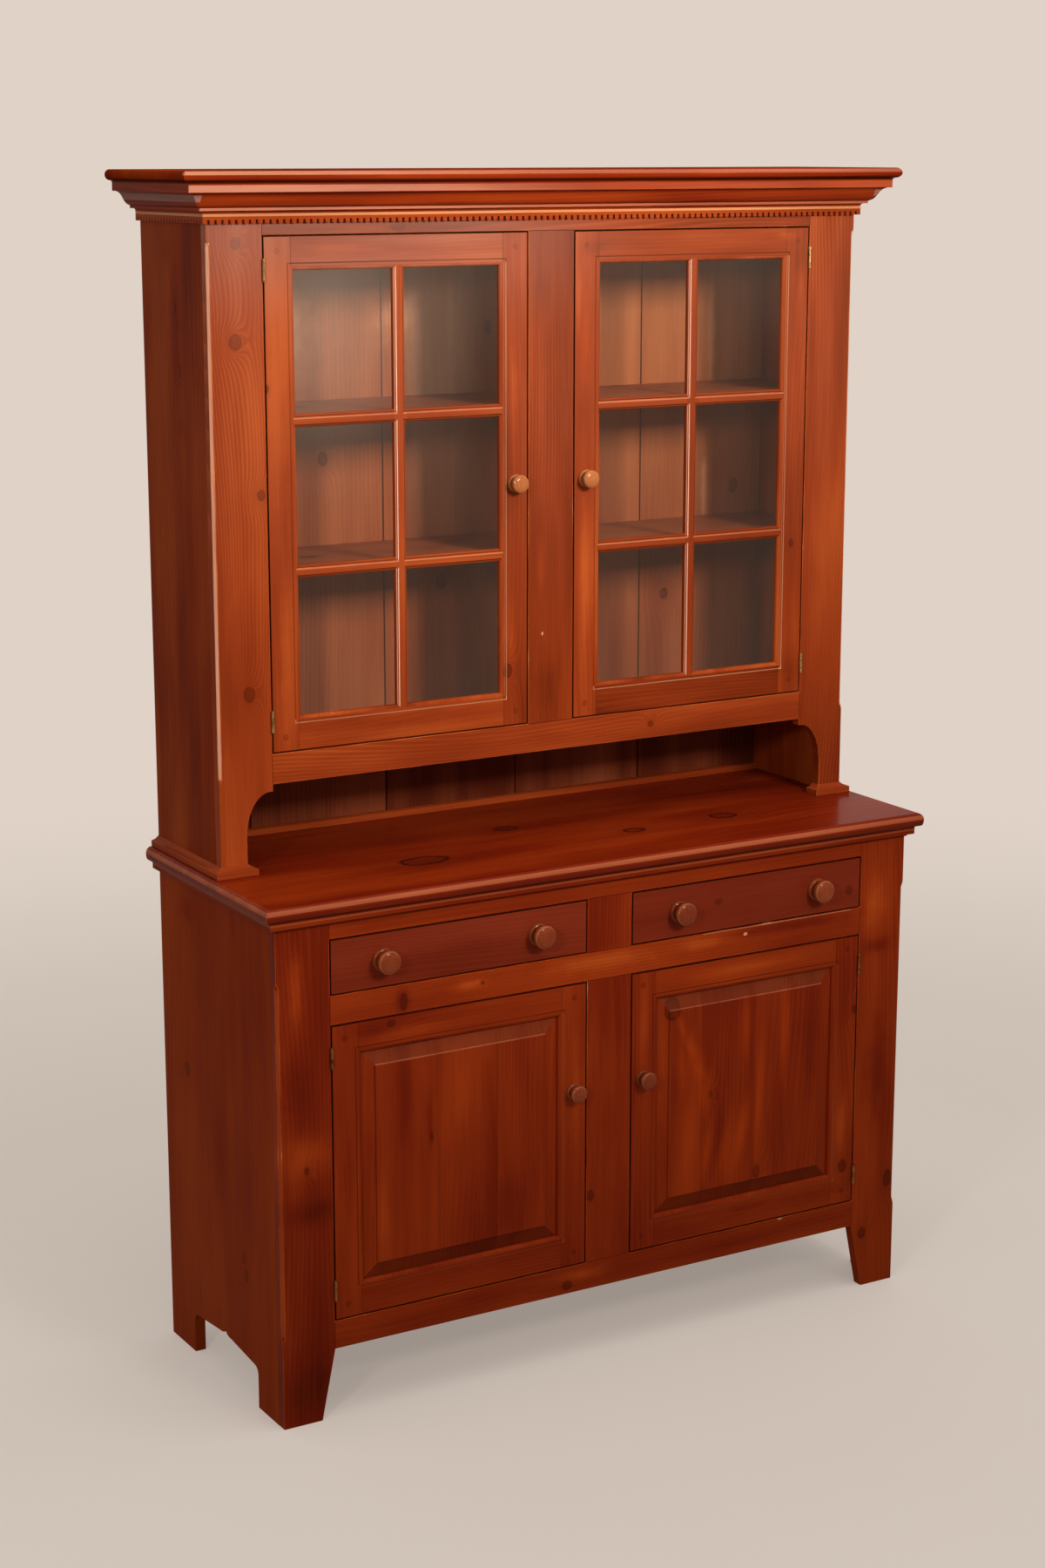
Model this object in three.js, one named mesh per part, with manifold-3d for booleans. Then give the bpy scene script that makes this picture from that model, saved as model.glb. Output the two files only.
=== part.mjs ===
// A step back cupboard in stained pine. The base holds two drawers over two panelled
// doors, and a shallower upper case with two glazed doors stands on its counter.
// Lengths are in millimetres. X runs along the front, Y towards the back and Z up,
// and the origin lies on the floor in the middle of the footprint.

import * as THREE from "three";
import { mergeVertices } from "three/addons/utils/BufferGeometryUtils.js";
import Module from "manifold-3d";

// Boards and clearances
const caseWidth = 1302;
const baseDepth = 474;
const upperDepth = 269;
const sideThick = 20;
const faceThick = 20;
const backThick = 12;
const shelfThick = 18;
const housingDepth = 6; // how far shelves are let into the sides
const jointGap = 0.2; // left between boards that meet
const doorGap = 2.2; // round doors and drawer fronts
const cutOverrun = 2; // how far cutting tools run past a face

// Base face frame, from the floor up
const outerStileWidth = 99.5;
const centreStileWidth = 92;
const footHeight = 127;
const footWidth = 73; // at the floor, where the foot has tapered
const bottomRailHeight = 51;
const panelDoorwayHeight = 530;
const middleRailHeight = 51.5;
const drawerOpeningHeight = 98.5;
const topRailHeight = 48;

// Cut-out at the foot of each base side
const sideFootWidth = 102;
const archSpring = 58;
const archCorner = 18;
const archShoulder = 85;
const archPeak = 96;
const archCuspHalfWidth = 24;

// Inside the base
const bottomBoardDrop = 3; // below the top of the bottom rail
const baseShelfHeight = 262; // above the bottom board
const baseShelfSetback = 34; // behind the face frame
const guideHeight = 18;
const guideWidth = 20;

// Counter and the moulding under it
const counterThick = 24;
const counterOverhang = 25.5;
const counterNose = 10;
const counterUnderRound = 3.5;
const bedMouldHeight = 21;
const bedMouldTop = 21;
const bedMouldFillet = 13;
const bedMouldCove = 5;
const bedMouldFoot = 3;

// Upper face frame, from the counter up
const nicheHeight = 152;
const apronHeight = 52.5;
const glassDoorwayHeight = 866.5;
const friezeHeight = 86; // top rail, mostly behind the crown
const upperFootWidth = 49.5;
const bracketDrop = 12.5;
const bracketNib = 5;
const bracketHeight = 75;

// Stopped chamfers on the outer front corners
const chamferWidth = 5;
const chamferTongue = 12; // how far each end takes to run out
const baseChamferBottom = 155;
const baseChamferTop = 797;
const upperChamferMargin = 11; // above the apron's lower edge
const upperChamferTopMargin = 6; // below the top of the doorway

// Inside the upper case
const upperFloorDrop = 2.5; // below the top of the apron
const lowerShelfHeight = 515.5; // top face above the counter
const upperShelfHeight = 774.5;
const upperShelfSetback = 9; // behind the face frame
const backBoardWidth = 276.5;
const backSeamOffset = 76.5; // seam nearest to the middle
const seamWidth = 2;
const seamDepth = 2;

// Crown: dentil strip, moulding and top board
const topBoardThick = 18;
const topBoardOverhang = 62;
const topBoardNose = 9;
const dentilThick = 8;
const dentilHeight = 15.5;
const toothWidth = 8.2;
const toothHeight = 6;
const toothPitch = 12.25;
const crownHeight = 51;
const crownFoot = 8.2;
const crownCove = 4.8;
const crownFillet = 17.8;
const crownFilletTop = 9.3;
const crownOgeeTop = 33.5;
const crownOgeeReach = 43;
const crownFascia = 49;
const crownFasciaTop = 46.5;
const crownLip = 54;

// Moulding round the feet of the upper case, and the strip along its back
const footMouldHeight = 18.5;
const footMouldReach = 14;
const footMouldFillet = 11;
const ledgerHeight = 12;
const ledgerDepth = 13;

// Doors
const doorThick = 20;
const glassDoorStile = 48.8;
const glassDoorTopRail = 49.8;
const glassDoorBottomRail = 53.2;
const stickWidth = 6; // rounded edge round the glass
const stickDepth = 6.5;
const stickQuirk = 1;
const glassSetback = 11;
const glassThick = 3;
const rebateWidth = 8;
const muntinFace = 11;
const muntinStick = 5.5;
const copeGap = 0.3; // between the muntins' ends and the frame
const panelDoorStile = 50;
const panelDoorTopRail = 49.4;
const panelDoorBottomRail = 54.4;
const panelSetback = 9; // tongue of the panel behind the door's face
const tongueThick = 6;
const tongueReach = 7;
const grooveReach = 8.5;
const fieldMargin = 32; // from the inner edges of the door's face
const fieldStep = 2;
const fieldSetback = 1.5;

// Drawers
const drawerFrontThick = 20;
const drawerSideThick = 12;
const drawerBottomThick = 8;
const drawerBoxHeight = 84;
const drawerBackRoom = 49.8; // between the box and the back of the case
const drawerPlay = 2.8; // between the box and its guides
const runnerGap = 0.4; // between the box and the deck

// Knobs
const doorKnobRadius = 16.5;
const doorKnobLength = 25;
const drawerKnobRadius = 22;
const drawerKnobLength = 31;
const panelDoorKnobDrop = 200; // below the top of the doorway
const drawerKnobSpread = 152; // from the middle of the drawer

// A knob's outline from its foot to its tip, as shares of its radius and its length
const knobShares = [
  [0, 0],
  [0.93, 0],
  [0.98, 0.06],
  [0.98, 0.16],
  [0.9, 0.24],
  [0.6, 0.3],
  [0.54, 0.4],
  [0.66, 0.5],
  [0.94, 0.57],
  [1, 0.67],
  [0.99, 0.78],
  [0.86, 0.9],
  [0.5, 0.98],
  [0, 1],
];

// Hinges
const hingeHeight = 38;
const hingeInset = 37.5; // from the end of the doorway
const barrelRadius = 2.7;
const barrelProud = 3.2; // pin axis in front of the face
const pinRadius = 1.1;
const pinClearance = 0.2;
const leafThick = 0.8;
const leafPlay = 0.1;
const leafReach = 18;
const knuckleGap = 0.3;

// Places that follow from the sizes above
const halfWidth = caseWidth / 2;
const doorwayWidth = halfWidth - outerStileWidth - centreStileWidth / 2;
const doorwayMiddle = centreStileWidth / 2 + doorwayWidth / 2;
const panelDoorwayBottom = footHeight + bottomRailHeight;
const panelDoorwayTop = panelDoorwayBottom + panelDoorwayHeight;
const drawerFloor = panelDoorwayTop + middleRailHeight;
const drawerCeiling = drawerFloor + drawerOpeningHeight;
const baseTop = drawerCeiling + topRailHeight;
const counterTop = baseTop + counterThick;
const glassDoorwayBottom = nicheHeight + apronHeight;
const glassDoorwayTop = glassDoorwayBottom + glassDoorwayHeight;
const upperTop = glassDoorwayTop + friezeHeight;
const crownBottom = upperTop - crownHeight;
const knobReach = jointGap + Math.max(drawerKnobLength, doorKnobLength);
const footprintDepth = baseDepth + Math.max(counterOverhang, knobReach);
const doorWidth = doorwayWidth - 2 * doorGap;
const drawerBoxDepth = baseDepth - drawerFrontThick - jointGap - drawerBackRoom - backThick;

// How finely curves are divided
const arcSteps = 6;
const stickSteps = 4;
const barrelSides = 10;
const barSides = 4;
const knobSides = 18;
const knuckles = 5;
const panesHigh = 3;

const quarterTurn = Math.PI / 2;

// Solids

const wasm = await Module();
wasm.setup();

function solidOf(geometry) {
  const bare = geometry.index ? geometry.toNonIndexed() : geometry.clone();
  bare.deleteAttribute("normal");
  bare.deleteAttribute("uv");
  const merged = mergeVertices(bare);
  const mesh = new wasm.Mesh({
    numProp: 3,
    vertProperties: merged.attributes.position.array,
    triVerts: new Uint32Array(merged.index.array),
  });
  return new wasm.Manifold(mesh);
}

function geometryOf(solid) {
  const mesh = solid.getMesh();
  const geometry = new THREE.BufferGeometry();
  geometry.setAttribute("position", new THREE.BufferAttribute(mesh.vertProperties, mesh.numProp));
  geometry.setIndex(new THREE.BufferAttribute(mesh.triVerts, 1));
  geometry.computeVertexNormals();
  return geometry;
}

function join(first, ...others) {
  return geometryOf(others.reduce((solid, other) => solid.add(solidOf(other)), solidOf(first)));
}

function cut(first, ...tools) {
  return geometryOf(tools.reduce((solid, tool) => solid.subtract(solidOf(tool)), solidOf(first)));
}

// A block between two values on each axis.
function block([x0, x1], [y0, y1], [z0, z1]) {
  const geometry = new THREE.BoxGeometry(x1 - x0, y1 - y0, z1 - z0);
  return geometry.translate((x0 + x1) / 2, (y0 + y1) / 2, (z0 + z1) / 2);
}

function extrude(shape, depth) {
  return new THREE.ExtrudeGeometry(shape, { depth, bevelEnabled: false, curveSegments: arcSteps });
}

// An outline drawn in X and Z, with its back face on the XZ plane and its thickness in front.
function frontPlate(shape, thick) {
  return extrude(shape, thick).rotateX(quarterTurn);
}

// An outline drawn in Y and Z, with its thickness along X.
function sidePlate(shape, thick) {
  return extrude(shape, thick).rotateX(quarterTurn).rotateZ(quarterTurn);
}

function shapeFrom(points) {
  return new THREE.Shape(points.map(([x, y]) => new THREE.Vector2(x, y)));
}

function bufferFrom(positions, faces) {
  const geometry = new THREE.BufferGeometry();
  geometry.setAttribute("position", new THREE.Float32BufferAttribute(positions.flat(), 3));
  geometry.setIndex(faces.flat());
  geometry.computeVertexNormals();
  return geometry;
}

// Rectangles { x: [low, high], y: [low, high], z } skinned in turn. A loop of them makes a
// frame round an opening. Without the loop the first and the last are closed.
function skinRectangles(rings, isLoop) {
  const positions = rings.flatMap(({ x, y, z }) => [
    [x[0], y[0], z],
    [x[1], y[0], z],
    [x[1], y[1], z],
    [x[0], y[1], z],
  ]);
  const faces = [];
  const spans = isLoop ? rings.length : rings.length - 1;
  for (let ring = 0; ring < spans; ring++) {
    const next = (ring + 1) % rings.length;
    for (let corner = 0; corner < 4; corner++) {
      const turn = (corner + 1) % 4;
      faces.push([ring * 4 + corner, ring * 4 + turn, next * 4 + turn]);
      faces.push([ring * 4 + corner, next * 4 + turn, next * 4 + corner]);
    }
  }
  if (!isLoop) {
    const last = spans * 4;
    faces.push([0, 2, 1], [0, 3, 2]);
    faces.push([last, last + 1, last + 2], [last, last + 2, last + 3]);
  }
  return bufferFrom(positions, faces);
}

// A profile in (reach, height) carried past corners { at, out } and mitred at each one.
function mitredMoulding(shape, corners) {
  const profile = shape.extractPoints(arcSteps).shape;
  if (THREE.ShapeUtils.isClockWise(profile)) profile.reverse();
  const count = profile.length;
  const positions = corners.flatMap(({ at, out }) =>
    profile.map((point) => [at[0] + out[0] * point.x, at[1] + out[1] * point.x, point.y]),
  );
  const faces = [];
  for (let run = 0; run < corners.length - 1; run++) {
    for (let index = 0; index < count; index++) {
      const near = run * count + index;
      const beside = run * count + ((index + 1) % count);
      faces.push([near, beside + count, beside], [near, near + count, beside + count]);
    }
  }
  const last = (corners.length - 1) * count;
  for (const [a, b, c] of THREE.ShapeUtils.triangulateShape(profile, [])) {
    faces.push([a, b, c], [last + a, last + c, last + b]);
  }
  return bufferFrom(positions, faces);
}

// The three sides of a case that a moulding wraps, from the back left corner round the front.
function roundCase(depth) {
  const side = halfWidth + jointGap;
  const front = -depth - jointGap;
  return [
    { at: [-side, 0], out: [-1, 0] },
    { at: [-side, front], out: [-1, -1] },
    { at: [side, front], out: [1, -1] },
    { at: [side, 0], out: [1, 0] },
  ];
}

// Finishes

const finish = (color, roughness, metalness) =>
  new THREE.MeshStandardMaterial({ color, roughness, metalness });
const pineFront = () => finish(0x9c4a24, 0.42, 0);
const pineSide = () => finish(0x6e3420, 0.5, 0);
const pineInside = () => finish(0x85502f, 0.6, 0);
const pineDrawer = () => finish(0x7a2f17, 0.4, 0);
const rawPine = () => finish(0xc79a62, 0.7, 0);
const brass = () => finish(0xb5883c, 0.35, 1);

function glass() {
  const material = finish(0xdfe8e4, 0.05, 0);
  material.transparent = true;
  material.opacity = 0.35;
  return material;
}

function addPiece(group, name, geometry, material) {
  const mesh = new THREE.Mesh(geometry, material);
  mesh.name = name;
  group.add(mesh);
  return mesh;
}

// Base

const insideHalf = halfWidth - sideThick;
const housedHalf = insideHalf + housingDepth - jointGap;
const behindBaseFace = -(baseDepth - faceThick) + jointGap;
const behindUpperFace = -(upperDepth - faceThick) + jointGap;
const frontOfBack = -backThick - jointGap;
const bottomBoardTop = panelDoorwayBottom - bottomBoardDrop;
const baseShelfTop = bottomBoardTop + baseShelfHeight;

// Housings in a side board for boards whose top faces lie at the given heights.
function housings(tops, depth) {
  const x = [insideHalf, insideHalf + housingDepth];
  return tops.map((top) =>
    block([x[0] - cutOverrun, x[1]], [-depth, cutOverrun], [
      top - shelfThick - jointGap,
      top + jointGap,
    ]),
  );
}

function baseSideOutline() {
  const middle = -baseDepth / 2;
  const span = baseDepth / 2 - sideFootWidth;
  const shape = new THREE.Shape();
  shape.moveTo(0, 0);
  shape.lineTo(0, baseTop - jointGap);
  shape.lineTo(behindBaseFace, baseTop - jointGap);
  shape.lineTo(behindBaseFace, 0);
  shape.lineTo(middle - span, 0);
  shape.lineTo(middle - span, archSpring);
  const crest = archSpring + archCorner;
  shape.quadraticCurveTo(middle - span, crest, middle - span + archCorner, crest);
  shape.lineTo(middle - archCuspHalfWidth, archShoulder);
  shape.quadraticCurveTo(middle, archShoulder, middle, archPeak);
  shape.quadraticCurveTo(middle, archShoulder, middle + archCuspHalfWidth, archShoulder);
  shape.lineTo(middle + span - archCorner, crest);
  shape.quadraticCurveTo(middle + span, crest, middle + span, archSpring);
  shape.lineTo(middle + span, 0);
  return shape;
}

// Right side board; the left one is the same board turned over.
function baseSide(side) {
  const plate = sidePlate(baseSideOutline(), sideThick).translate(insideHalf, 0, 0);
  const board = cut(plate, ...housings([bottomBoardTop, baseShelfTop, drawerFloor], baseDepth));
  return side > 0 ? board : mirrored(board);
}

// The same solid on the other side of the middle, with its faces turned to match.
function mirrored(geometry) {
  const flipped = geometry.clone().scale(-1, 1, 1);
  const order = flipped.index.array;
  for (let face = 0; face < order.length; face += 3) {
    [order[face + 1], order[face + 2]] = [order[face + 2], order[face + 1]];
  }
  flipped.computeVertexNormals();
  return flipped;
}

// A bar on the corner of a case that takes off a chamfer. It tapers to a tongue at each end.
function chamferTool(side, depth, bottom, top) {
  const profile = [
    new THREE.Vector2(0, bottom),
    new THREE.Vector2(chamferWidth, bottom + chamferTongue),
    new THREE.Vector2(chamferWidth, top - chamferTongue),
    new THREE.Vector2(0, top),
  ];
  return new THREE.LatheGeometry(profile, barSides)
    .rotateX(quarterTurn)
    .translate(side * halfWidth, -depth, 0);
}

function baseFaceFrame() {
  const rail = halfWidth - outerStileWidth;
  const shape = shapeFrom([
    [-halfWidth, 0],
    [-halfWidth + footWidth, 0],
    [-rail, footHeight],
    [rail, footHeight],
    [halfWidth - footWidth, 0],
    [halfWidth, 0],
    [halfWidth, baseTop - jointGap],
    [-halfWidth, baseTop - jointGap],
  ]);
  const plate = frontPlate(shape, faceThick).translate(0, -(baseDepth - faceThick), 0);
  const chamfers = [-1, 1].map((side) =>
    chamferTool(side, baseDepth, baseChamferBottom, baseChamferTop),
  );
  return cut(
    plate,
    ...doorwayTools(baseDepth, [panelDoorwayBottom, panelDoorwayTop]),
    ...doorwayTools(baseDepth, [drawerFloor, drawerCeiling]),
    ...chamfers,
  );
}

// Blocks that cut the left and the right opening of a face frame between two heights.
function doorwayTools(depth, heights) {
  const y = [-depth - cutOverrun, -depth + faceThick + cutOverrun];
  return [-1, 1].map((side) => {
    const middle = side * doorwayMiddle;
    return block([middle - doorwayWidth / 2, middle + doorwayWidth / 2], y, heights);
  });
}

// Boards side by side as one plate in X and Y, with a seam on both faces where two meet.
function boardedBack(bottom, top) {
  const half = insideHalf - jointGap;
  const seams = [];
  const first = Math.ceil((-half + seamWidth - backSeamOffset) / backBoardWidth);
  for (let step = first; ; step++) {
    const seam = backSeamOffset + step * backBoardWidth;
    if (seam > half - seamWidth) break;
    seams.push(seam);
  }
  const notch = (seam, face, inward) => [
    [seam - seamWidth / 2, face],
    [seam, face + inward],
    [seam + seamWidth / 2, face],
  ];
  const rear = seams.flatMap((seam) => notch(seam, 0, -seamDepth));
  const front = seams.flatMap((seam) => notch(seam, -backThick, seamDepth));
  const outline = [[-half, 0], ...rear, [half, 0], [half, -backThick], ...front.reverse()];
  outline.push([-half, -backThick]);
  return extrude(shapeFrom(outline), top - bottom).translate(0, 0, bottom);
}

function shelf(top, front) {
  return block([-housedHalf, housedHalf], [front, frontOfBack], [top - shelfThick, top]);
}

// The dust board under the drawers, with a guide on each side of each drawer.
function drawerDeck() {
  const rail = halfWidth - outerStileWidth;
  const y = [behindBaseFace, frontOfBack];
  const z = [drawerFloor - cutOverrun, drawerFloor + guideHeight];
  return join(
    shelf(drawerFloor, behindBaseFace),
    block([-rail - guideWidth, -rail], y, z),
    block([-centreStileWidth / 2, centreStileWidth / 2], y, z),
    block([rail, rail + guideWidth], y, z),
  );
}

function buildBase() {
  const base = new THREE.Group();
  addPiece(base, "base_side_left", baseSide(-1), pineSide());
  addPiece(base, "base_side_right", baseSide(1), pineSide());
  addPiece(base, "base_bottom_board", shelf(bottomBoardTop, behindBaseFace), pineInside());
  const shelfFront = behindBaseFace + baseShelfSetback;
  addPiece(base, "base_shelf", shelf(baseShelfTop, shelfFront), pineInside());
  addPiece(base, "base_back", boardedBack(footHeight, baseTop - jointGap), pineInside());
  addPiece(base, "base_face_frame", baseFaceFrame(), pineFront());
  addPiece(base, "drawer_deck", drawerDeck(), rawPine());
  addPiece(base, "counter_board", counterBoard(), pineFront());
  addPiece(base, "counter_moulding", counterMoulding(), pineFront());
  return base;
}

// Counter

// A board over a case, flush at the back, that reaches past the other sides by each
// ring's reach.
function overhangingBoard(depth, rings) {
  const outlines = rings.map(({ reach, z }) => ({
    x: [-halfWidth - reach, halfWidth + reach],
    y: [-depth - reach, 0],
    z,
  }));
  return skinRectangles(outlines, false);
}

function counterBoard() {
  const widest = counterThick / 2;
  const rings = [];
  for (let step = -arcSteps / 2; step <= arcSteps; step++) {
    const isUnder = step < 0;
    const angle = (step / (isUnder ? arcSteps / 2 : arcSteps)) * quarterTurn;
    const round = isUnder ? counterUnderRound : counterNose;
    const reach = counterOverhang - round * (1 - Math.cos(angle));
    rings.push({ reach, z: baseTop + widest * (1 + Math.sin(angle)) });
  }
  return overhangingBoard(baseDepth, rings);
}

function counterMoulding() {
  const top = baseTop - jointGap;
  const bottom = top - bedMouldHeight;
  const filletBottom = bottom + bedMouldCove;
  const shape = new THREE.Shape();
  shape.moveTo(0, bottom);
  shape.lineTo(bedMouldFoot, bottom);
  shape.quadraticCurveTo(bedMouldFoot, filletBottom, bedMouldFillet, filletBottom);
  shape.lineTo(bedMouldFillet, top - bedMouldCove);
  shape.quadraticCurveTo(bedMouldFillet, top, bedMouldTop, top);
  shape.lineTo(0, top);
  return mitredMoulding(shape, roundCase(baseDepth));
}

// Upper case, measured from the counter up

function upperSide(side) {
  const z = [jointGap, upperTop - jointGap];
  const plate = block([insideHalf, halfWidth], [behindUpperFace, 0], z);
  const tops = [glassDoorwayBottom - upperFloorDrop, lowerShelfHeight, upperShelfHeight];
  const board = cut(plate, ...housings(tops, upperDepth));
  return side > 0 ? board : mirrored(board);
}

// Feet, curved brackets and the apron's lower edge, from left to right.
function upperFrameOutline() {
  const foot = halfWidth - upperFootWidth;
  const rail = halfWidth - outerStileWidth;
  const curveTop = nicheHeight - bracketDrop;
  const curveBottom = curveTop - bracketHeight;
  const nib = rail + bracketNib;
  const shape = new THREE.Shape();
  shape.moveTo(-halfWidth, jointGap);
  shape.lineTo(-foot, jointGap);
  shape.lineTo(-foot, curveBottom);
  shape.absellipse(-nib, curveBottom, foot - nib, bracketHeight, Math.PI, quarterTurn, true);
  shape.lineTo(-rail, curveTop);
  shape.lineTo(-rail, nicheHeight);
  shape.lineTo(rail, nicheHeight);
  shape.lineTo(rail, curveTop);
  shape.absellipse(nib, curveBottom, foot - nib, bracketHeight, quarterTurn, 0, true);
  shape.lineTo(foot, jointGap);
  shape.lineTo(halfWidth, jointGap);
  shape.lineTo(halfWidth, upperTop - jointGap);
  shape.lineTo(-halfWidth, upperTop - jointGap);
  return shape;
}

function upperFaceFrame() {
  const plate = frontPlate(upperFrameOutline(), faceThick);
  const bottom = nicheHeight + upperChamferMargin;
  const top = glassDoorwayTop - upperChamferTopMargin;
  return cut(
    plate.translate(0, -(upperDepth - faceThick), 0),
    ...doorwayTools(upperDepth, [glassDoorwayBottom, glassDoorwayTop]),
    ...[-1, 1].map((side) => chamferTool(side, upperDepth, bottom, top)),
  );
}

function topBoard() {
  const rings = [];
  for (let step = -arcSteps; step <= arcSteps; step++) {
    const angle = (step / arcSteps) * quarterTurn;
    const reach = topBoardOverhang - topBoardNose * (1 - Math.cos(angle));
    rings.push({ reach, z: upperTop + (topBoardThick / 2) * (1 + Math.sin(angle)) });
  }
  return overhangingBoard(upperDepth, rings);
}

// Cove, fillet, ogee, fascia and a small cove under the top board.
function crownMoulding() {
  const top = upperTop - jointGap;
  const coveTop = crownBottom + crownCove;
  const ogeeBottom = crownBottom + crownFilletTop;
  const ogeeTop = crownBottom + crownOgeeTop;
  const ogeeRise = ogeeTop - ogeeBottom;
  const ogeeRun = crownOgeeReach - crownFillet;
  const bendShare = 0.55;
  const liftShare = 0.12;
  const shape = new THREE.Shape();
  shape.moveTo(0, crownBottom);
  shape.lineTo(crownFoot, crownBottom);
  shape.quadraticCurveTo(crownFoot, coveTop, crownFoot + crownCove, coveTop);
  shape.lineTo(crownFillet, coveTop);
  shape.lineTo(crownFillet, ogeeBottom);
  shape.bezierCurveTo(
    crownFillet + ogeeRun * bendShare,
    ogeeBottom + ogeeRise * liftShare,
    crownOgeeReach - ogeeRun * bendShare,
    ogeeTop - ogeeRise * liftShare,
    crownOgeeReach,
    ogeeTop,
  );
  shape.lineTo(crownFascia, ogeeTop);
  shape.lineTo(crownFascia, crownBottom + crownFasciaTop);
  shape.quadraticCurveTo(crownFascia, top, crownLip, top);
  shape.lineTo(0, top);
  return mitredMoulding(shape, roundCase(upperDepth));
}

// A strip with teeth along its lower edge. It starts and ends with a whole tooth.
function dentilOutline(length) {
  const gaps = Math.round((length - toothWidth) / toothPitch);
  const pitch = (length - toothWidth) / gaps;
  const points = [[0, dentilHeight], [0, 0]];
  for (let gap = 0; gap < gaps; gap++) {
    const start = gap * pitch + toothWidth;
    const end = start + pitch - toothWidth;
    points.push([start, 0], [start, toothHeight], [end, toothHeight], [end, 0]);
  }
  points.push([length, 0], [length, dentilHeight]);
  return shapeFrom(points);
}

function dentilMoulding() {
  const side = halfWidth + jointGap;
  const front = upperDepth + jointGap;
  const bottom = crownBottom - jointGap - dentilHeight;
  const sideStrip = sidePlate(dentilOutline(front + dentilThick), dentilThick);
  const frontStrip = frontPlate(dentilOutline(2 * (side + dentilThick)), dentilThick);
  return join(
    frontStrip.translate(-side - dentilThick, -front, bottom),
    sideStrip.clone().translate(side, -front - dentilThick, bottom),
    sideStrip.clone().translate(-side - dentilThick, -front - dentilThick, bottom),
  );
}

function footMoulding(side) {
  const height = footMouldHeight + jointGap;
  const shape = new THREE.Shape();
  shape.moveTo(0, jointGap);
  shape.lineTo(footMouldReach, jointGap);
  shape.lineTo(footMouldReach, footMouldFillet);
  shape.quadraticCurveTo(footMouldReach / 2, footMouldFillet, 0, height);
  const outer = halfWidth + jointGap;
  const inner = halfWidth - upperFootWidth - jointGap;
  const front = -upperDepth - jointGap;
  const corners = [
    { at: [-outer, 0], out: [-1, 0] },
    { at: [-outer, front], out: [-1, -1] },
    { at: [-inner, front], out: [1, -1] },
    { at: [-inner, -(upperDepth - faceThick)], out: [1, 0] },
  ];
  const moulding = mitredMoulding(shape, corners);
  return side < 0 ? moulding : mirrored(moulding);
}

// A quarter round strip between the sides, on the counter in front of the back boards.
function backLedger() {
  const shape = new THREE.Shape();
  shape.moveTo(frontOfBack, jointGap);
  shape.lineTo(frontOfBack, jointGap + ledgerHeight);
  shape.quadraticCurveTo(
    frontOfBack - ledgerDepth,
    jointGap + ledgerHeight,
    frontOfBack - ledgerDepth,
    jointGap + ledgerHeight / 2,
  );
  shape.lineTo(frontOfBack - ledgerDepth, jointGap);
  const half = insideHalf - jointGap;
  return sidePlate(shape, 2 * half).translate(-half, 0, 0);
}

function buildUpper() {
  const upper = new THREE.Group();
  upper.position.z = counterTop;
  const floorTop = glassDoorwayBottom - upperFloorDrop;
  const shelfFront = behindUpperFace + upperShelfSetback;
  addPiece(upper, "upper_side_left", upperSide(-1), pineSide());
  addPiece(upper, "upper_side_right", upperSide(1), pineSide());
  addPiece(upper, "upper_floor_board", shelf(floorTop, behindUpperFace), pineInside());
  addPiece(upper, "upper_shelf_lower", shelf(lowerShelfHeight, shelfFront), pineInside());
  addPiece(upper, "upper_shelf_upper", shelf(upperShelfHeight, shelfFront), pineInside());
  addPiece(upper, "upper_back", boardedBack(jointGap, upperTop - jointGap), pineInside());
  addPiece(upper, "upper_face_frame", upperFaceFrame(), pineFront());
  addPiece(upper, "top_board", topBoard(), pineFront());
  addPiece(upper, "crown_moulding", crownMoulding(), pineFront());
  addPiece(upper, "dentil_moulding", dentilMoulding(), pineFront());
  addPiece(upper, "foot_moulding_left", footMoulding(-1), pineFront());
  addPiece(upper, "foot_moulding_right", footMoulding(1), pineFront());
  addPiece(upper, "back_ledger", backLedger(), pineInside());
  return upper;
}

// Doors. Each is built in its own doorway: X from the doorway's middle, the face of the
// cupboard on Y zero and the doorway's lower edge on Z zero. Its frame is drawn lying on
// its back, X across, Y up the door and Z towards the face, and then stood up.

function standUp(geometry) {
  return geometry.rotateX(quarterTurn).translate(0, doorThick, 0);
}

// A ring inset from the opening's edges by each member, and past that by offset.
function doorRing(size, members, offset, z) {
  return {
    x: [-doorWidth / 2 + members.stile + offset, doorWidth / 2 - members.stile - offset],
    y: [doorGap + members.bottom + offset, size - doorGap - members.top - offset],
    z,
  };
}

const noMembers = { stile: 0, bottom: 0, top: 0 };
const glassMembers = {
  stile: glassDoorStile,
  bottom: glassDoorBottomRail,
  top: glassDoorTopRail,
};
const panelMembers = {
  stile: panelDoorStile,
  bottom: panelDoorBottomRail,
  top: panelDoorTopRail,
};

// Points (offset, z) down a rounded edge, from the quirk at the face to its side.
function stickPoints(width) {
  const points = [];
  for (let step = 0; step <= stickSteps; step++) {
    const angle = (step / stickSteps) * quarterTurn;
    const fall = (stickDepth - stickQuirk) * (1 - Math.cos(angle));
    points.push([width * Math.sin(angle), doorThick - stickQuirk - fall]);
  }
  return points;
}

// The gap grows the frame all round its opening, for fitting the muntins to it.
function glassDoorFrame(gap) {
  const ring = (offset, z) => doorRing(glassDoorwayHeight, glassMembers, offset + gap, z);
  const glassFace = doorThick - glassSetback;
  const rebate = stickWidth - rebateWidth;
  return skinRectangles(
    [
      doorRing(glassDoorwayHeight, noMembers, 0, 0),
      doorRing(glassDoorwayHeight, noMembers, 0, doorThick + gap),
      ring(0, doorThick + gap),
      ...stickPoints(stickWidth).map(([offset, z]) => ring(offset, z + gap)),
      ring(stickWidth, glassFace),
      ring(rebate, glassFace),
      ring(rebate, 0),
    ],
    true,
  );
}

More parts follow.
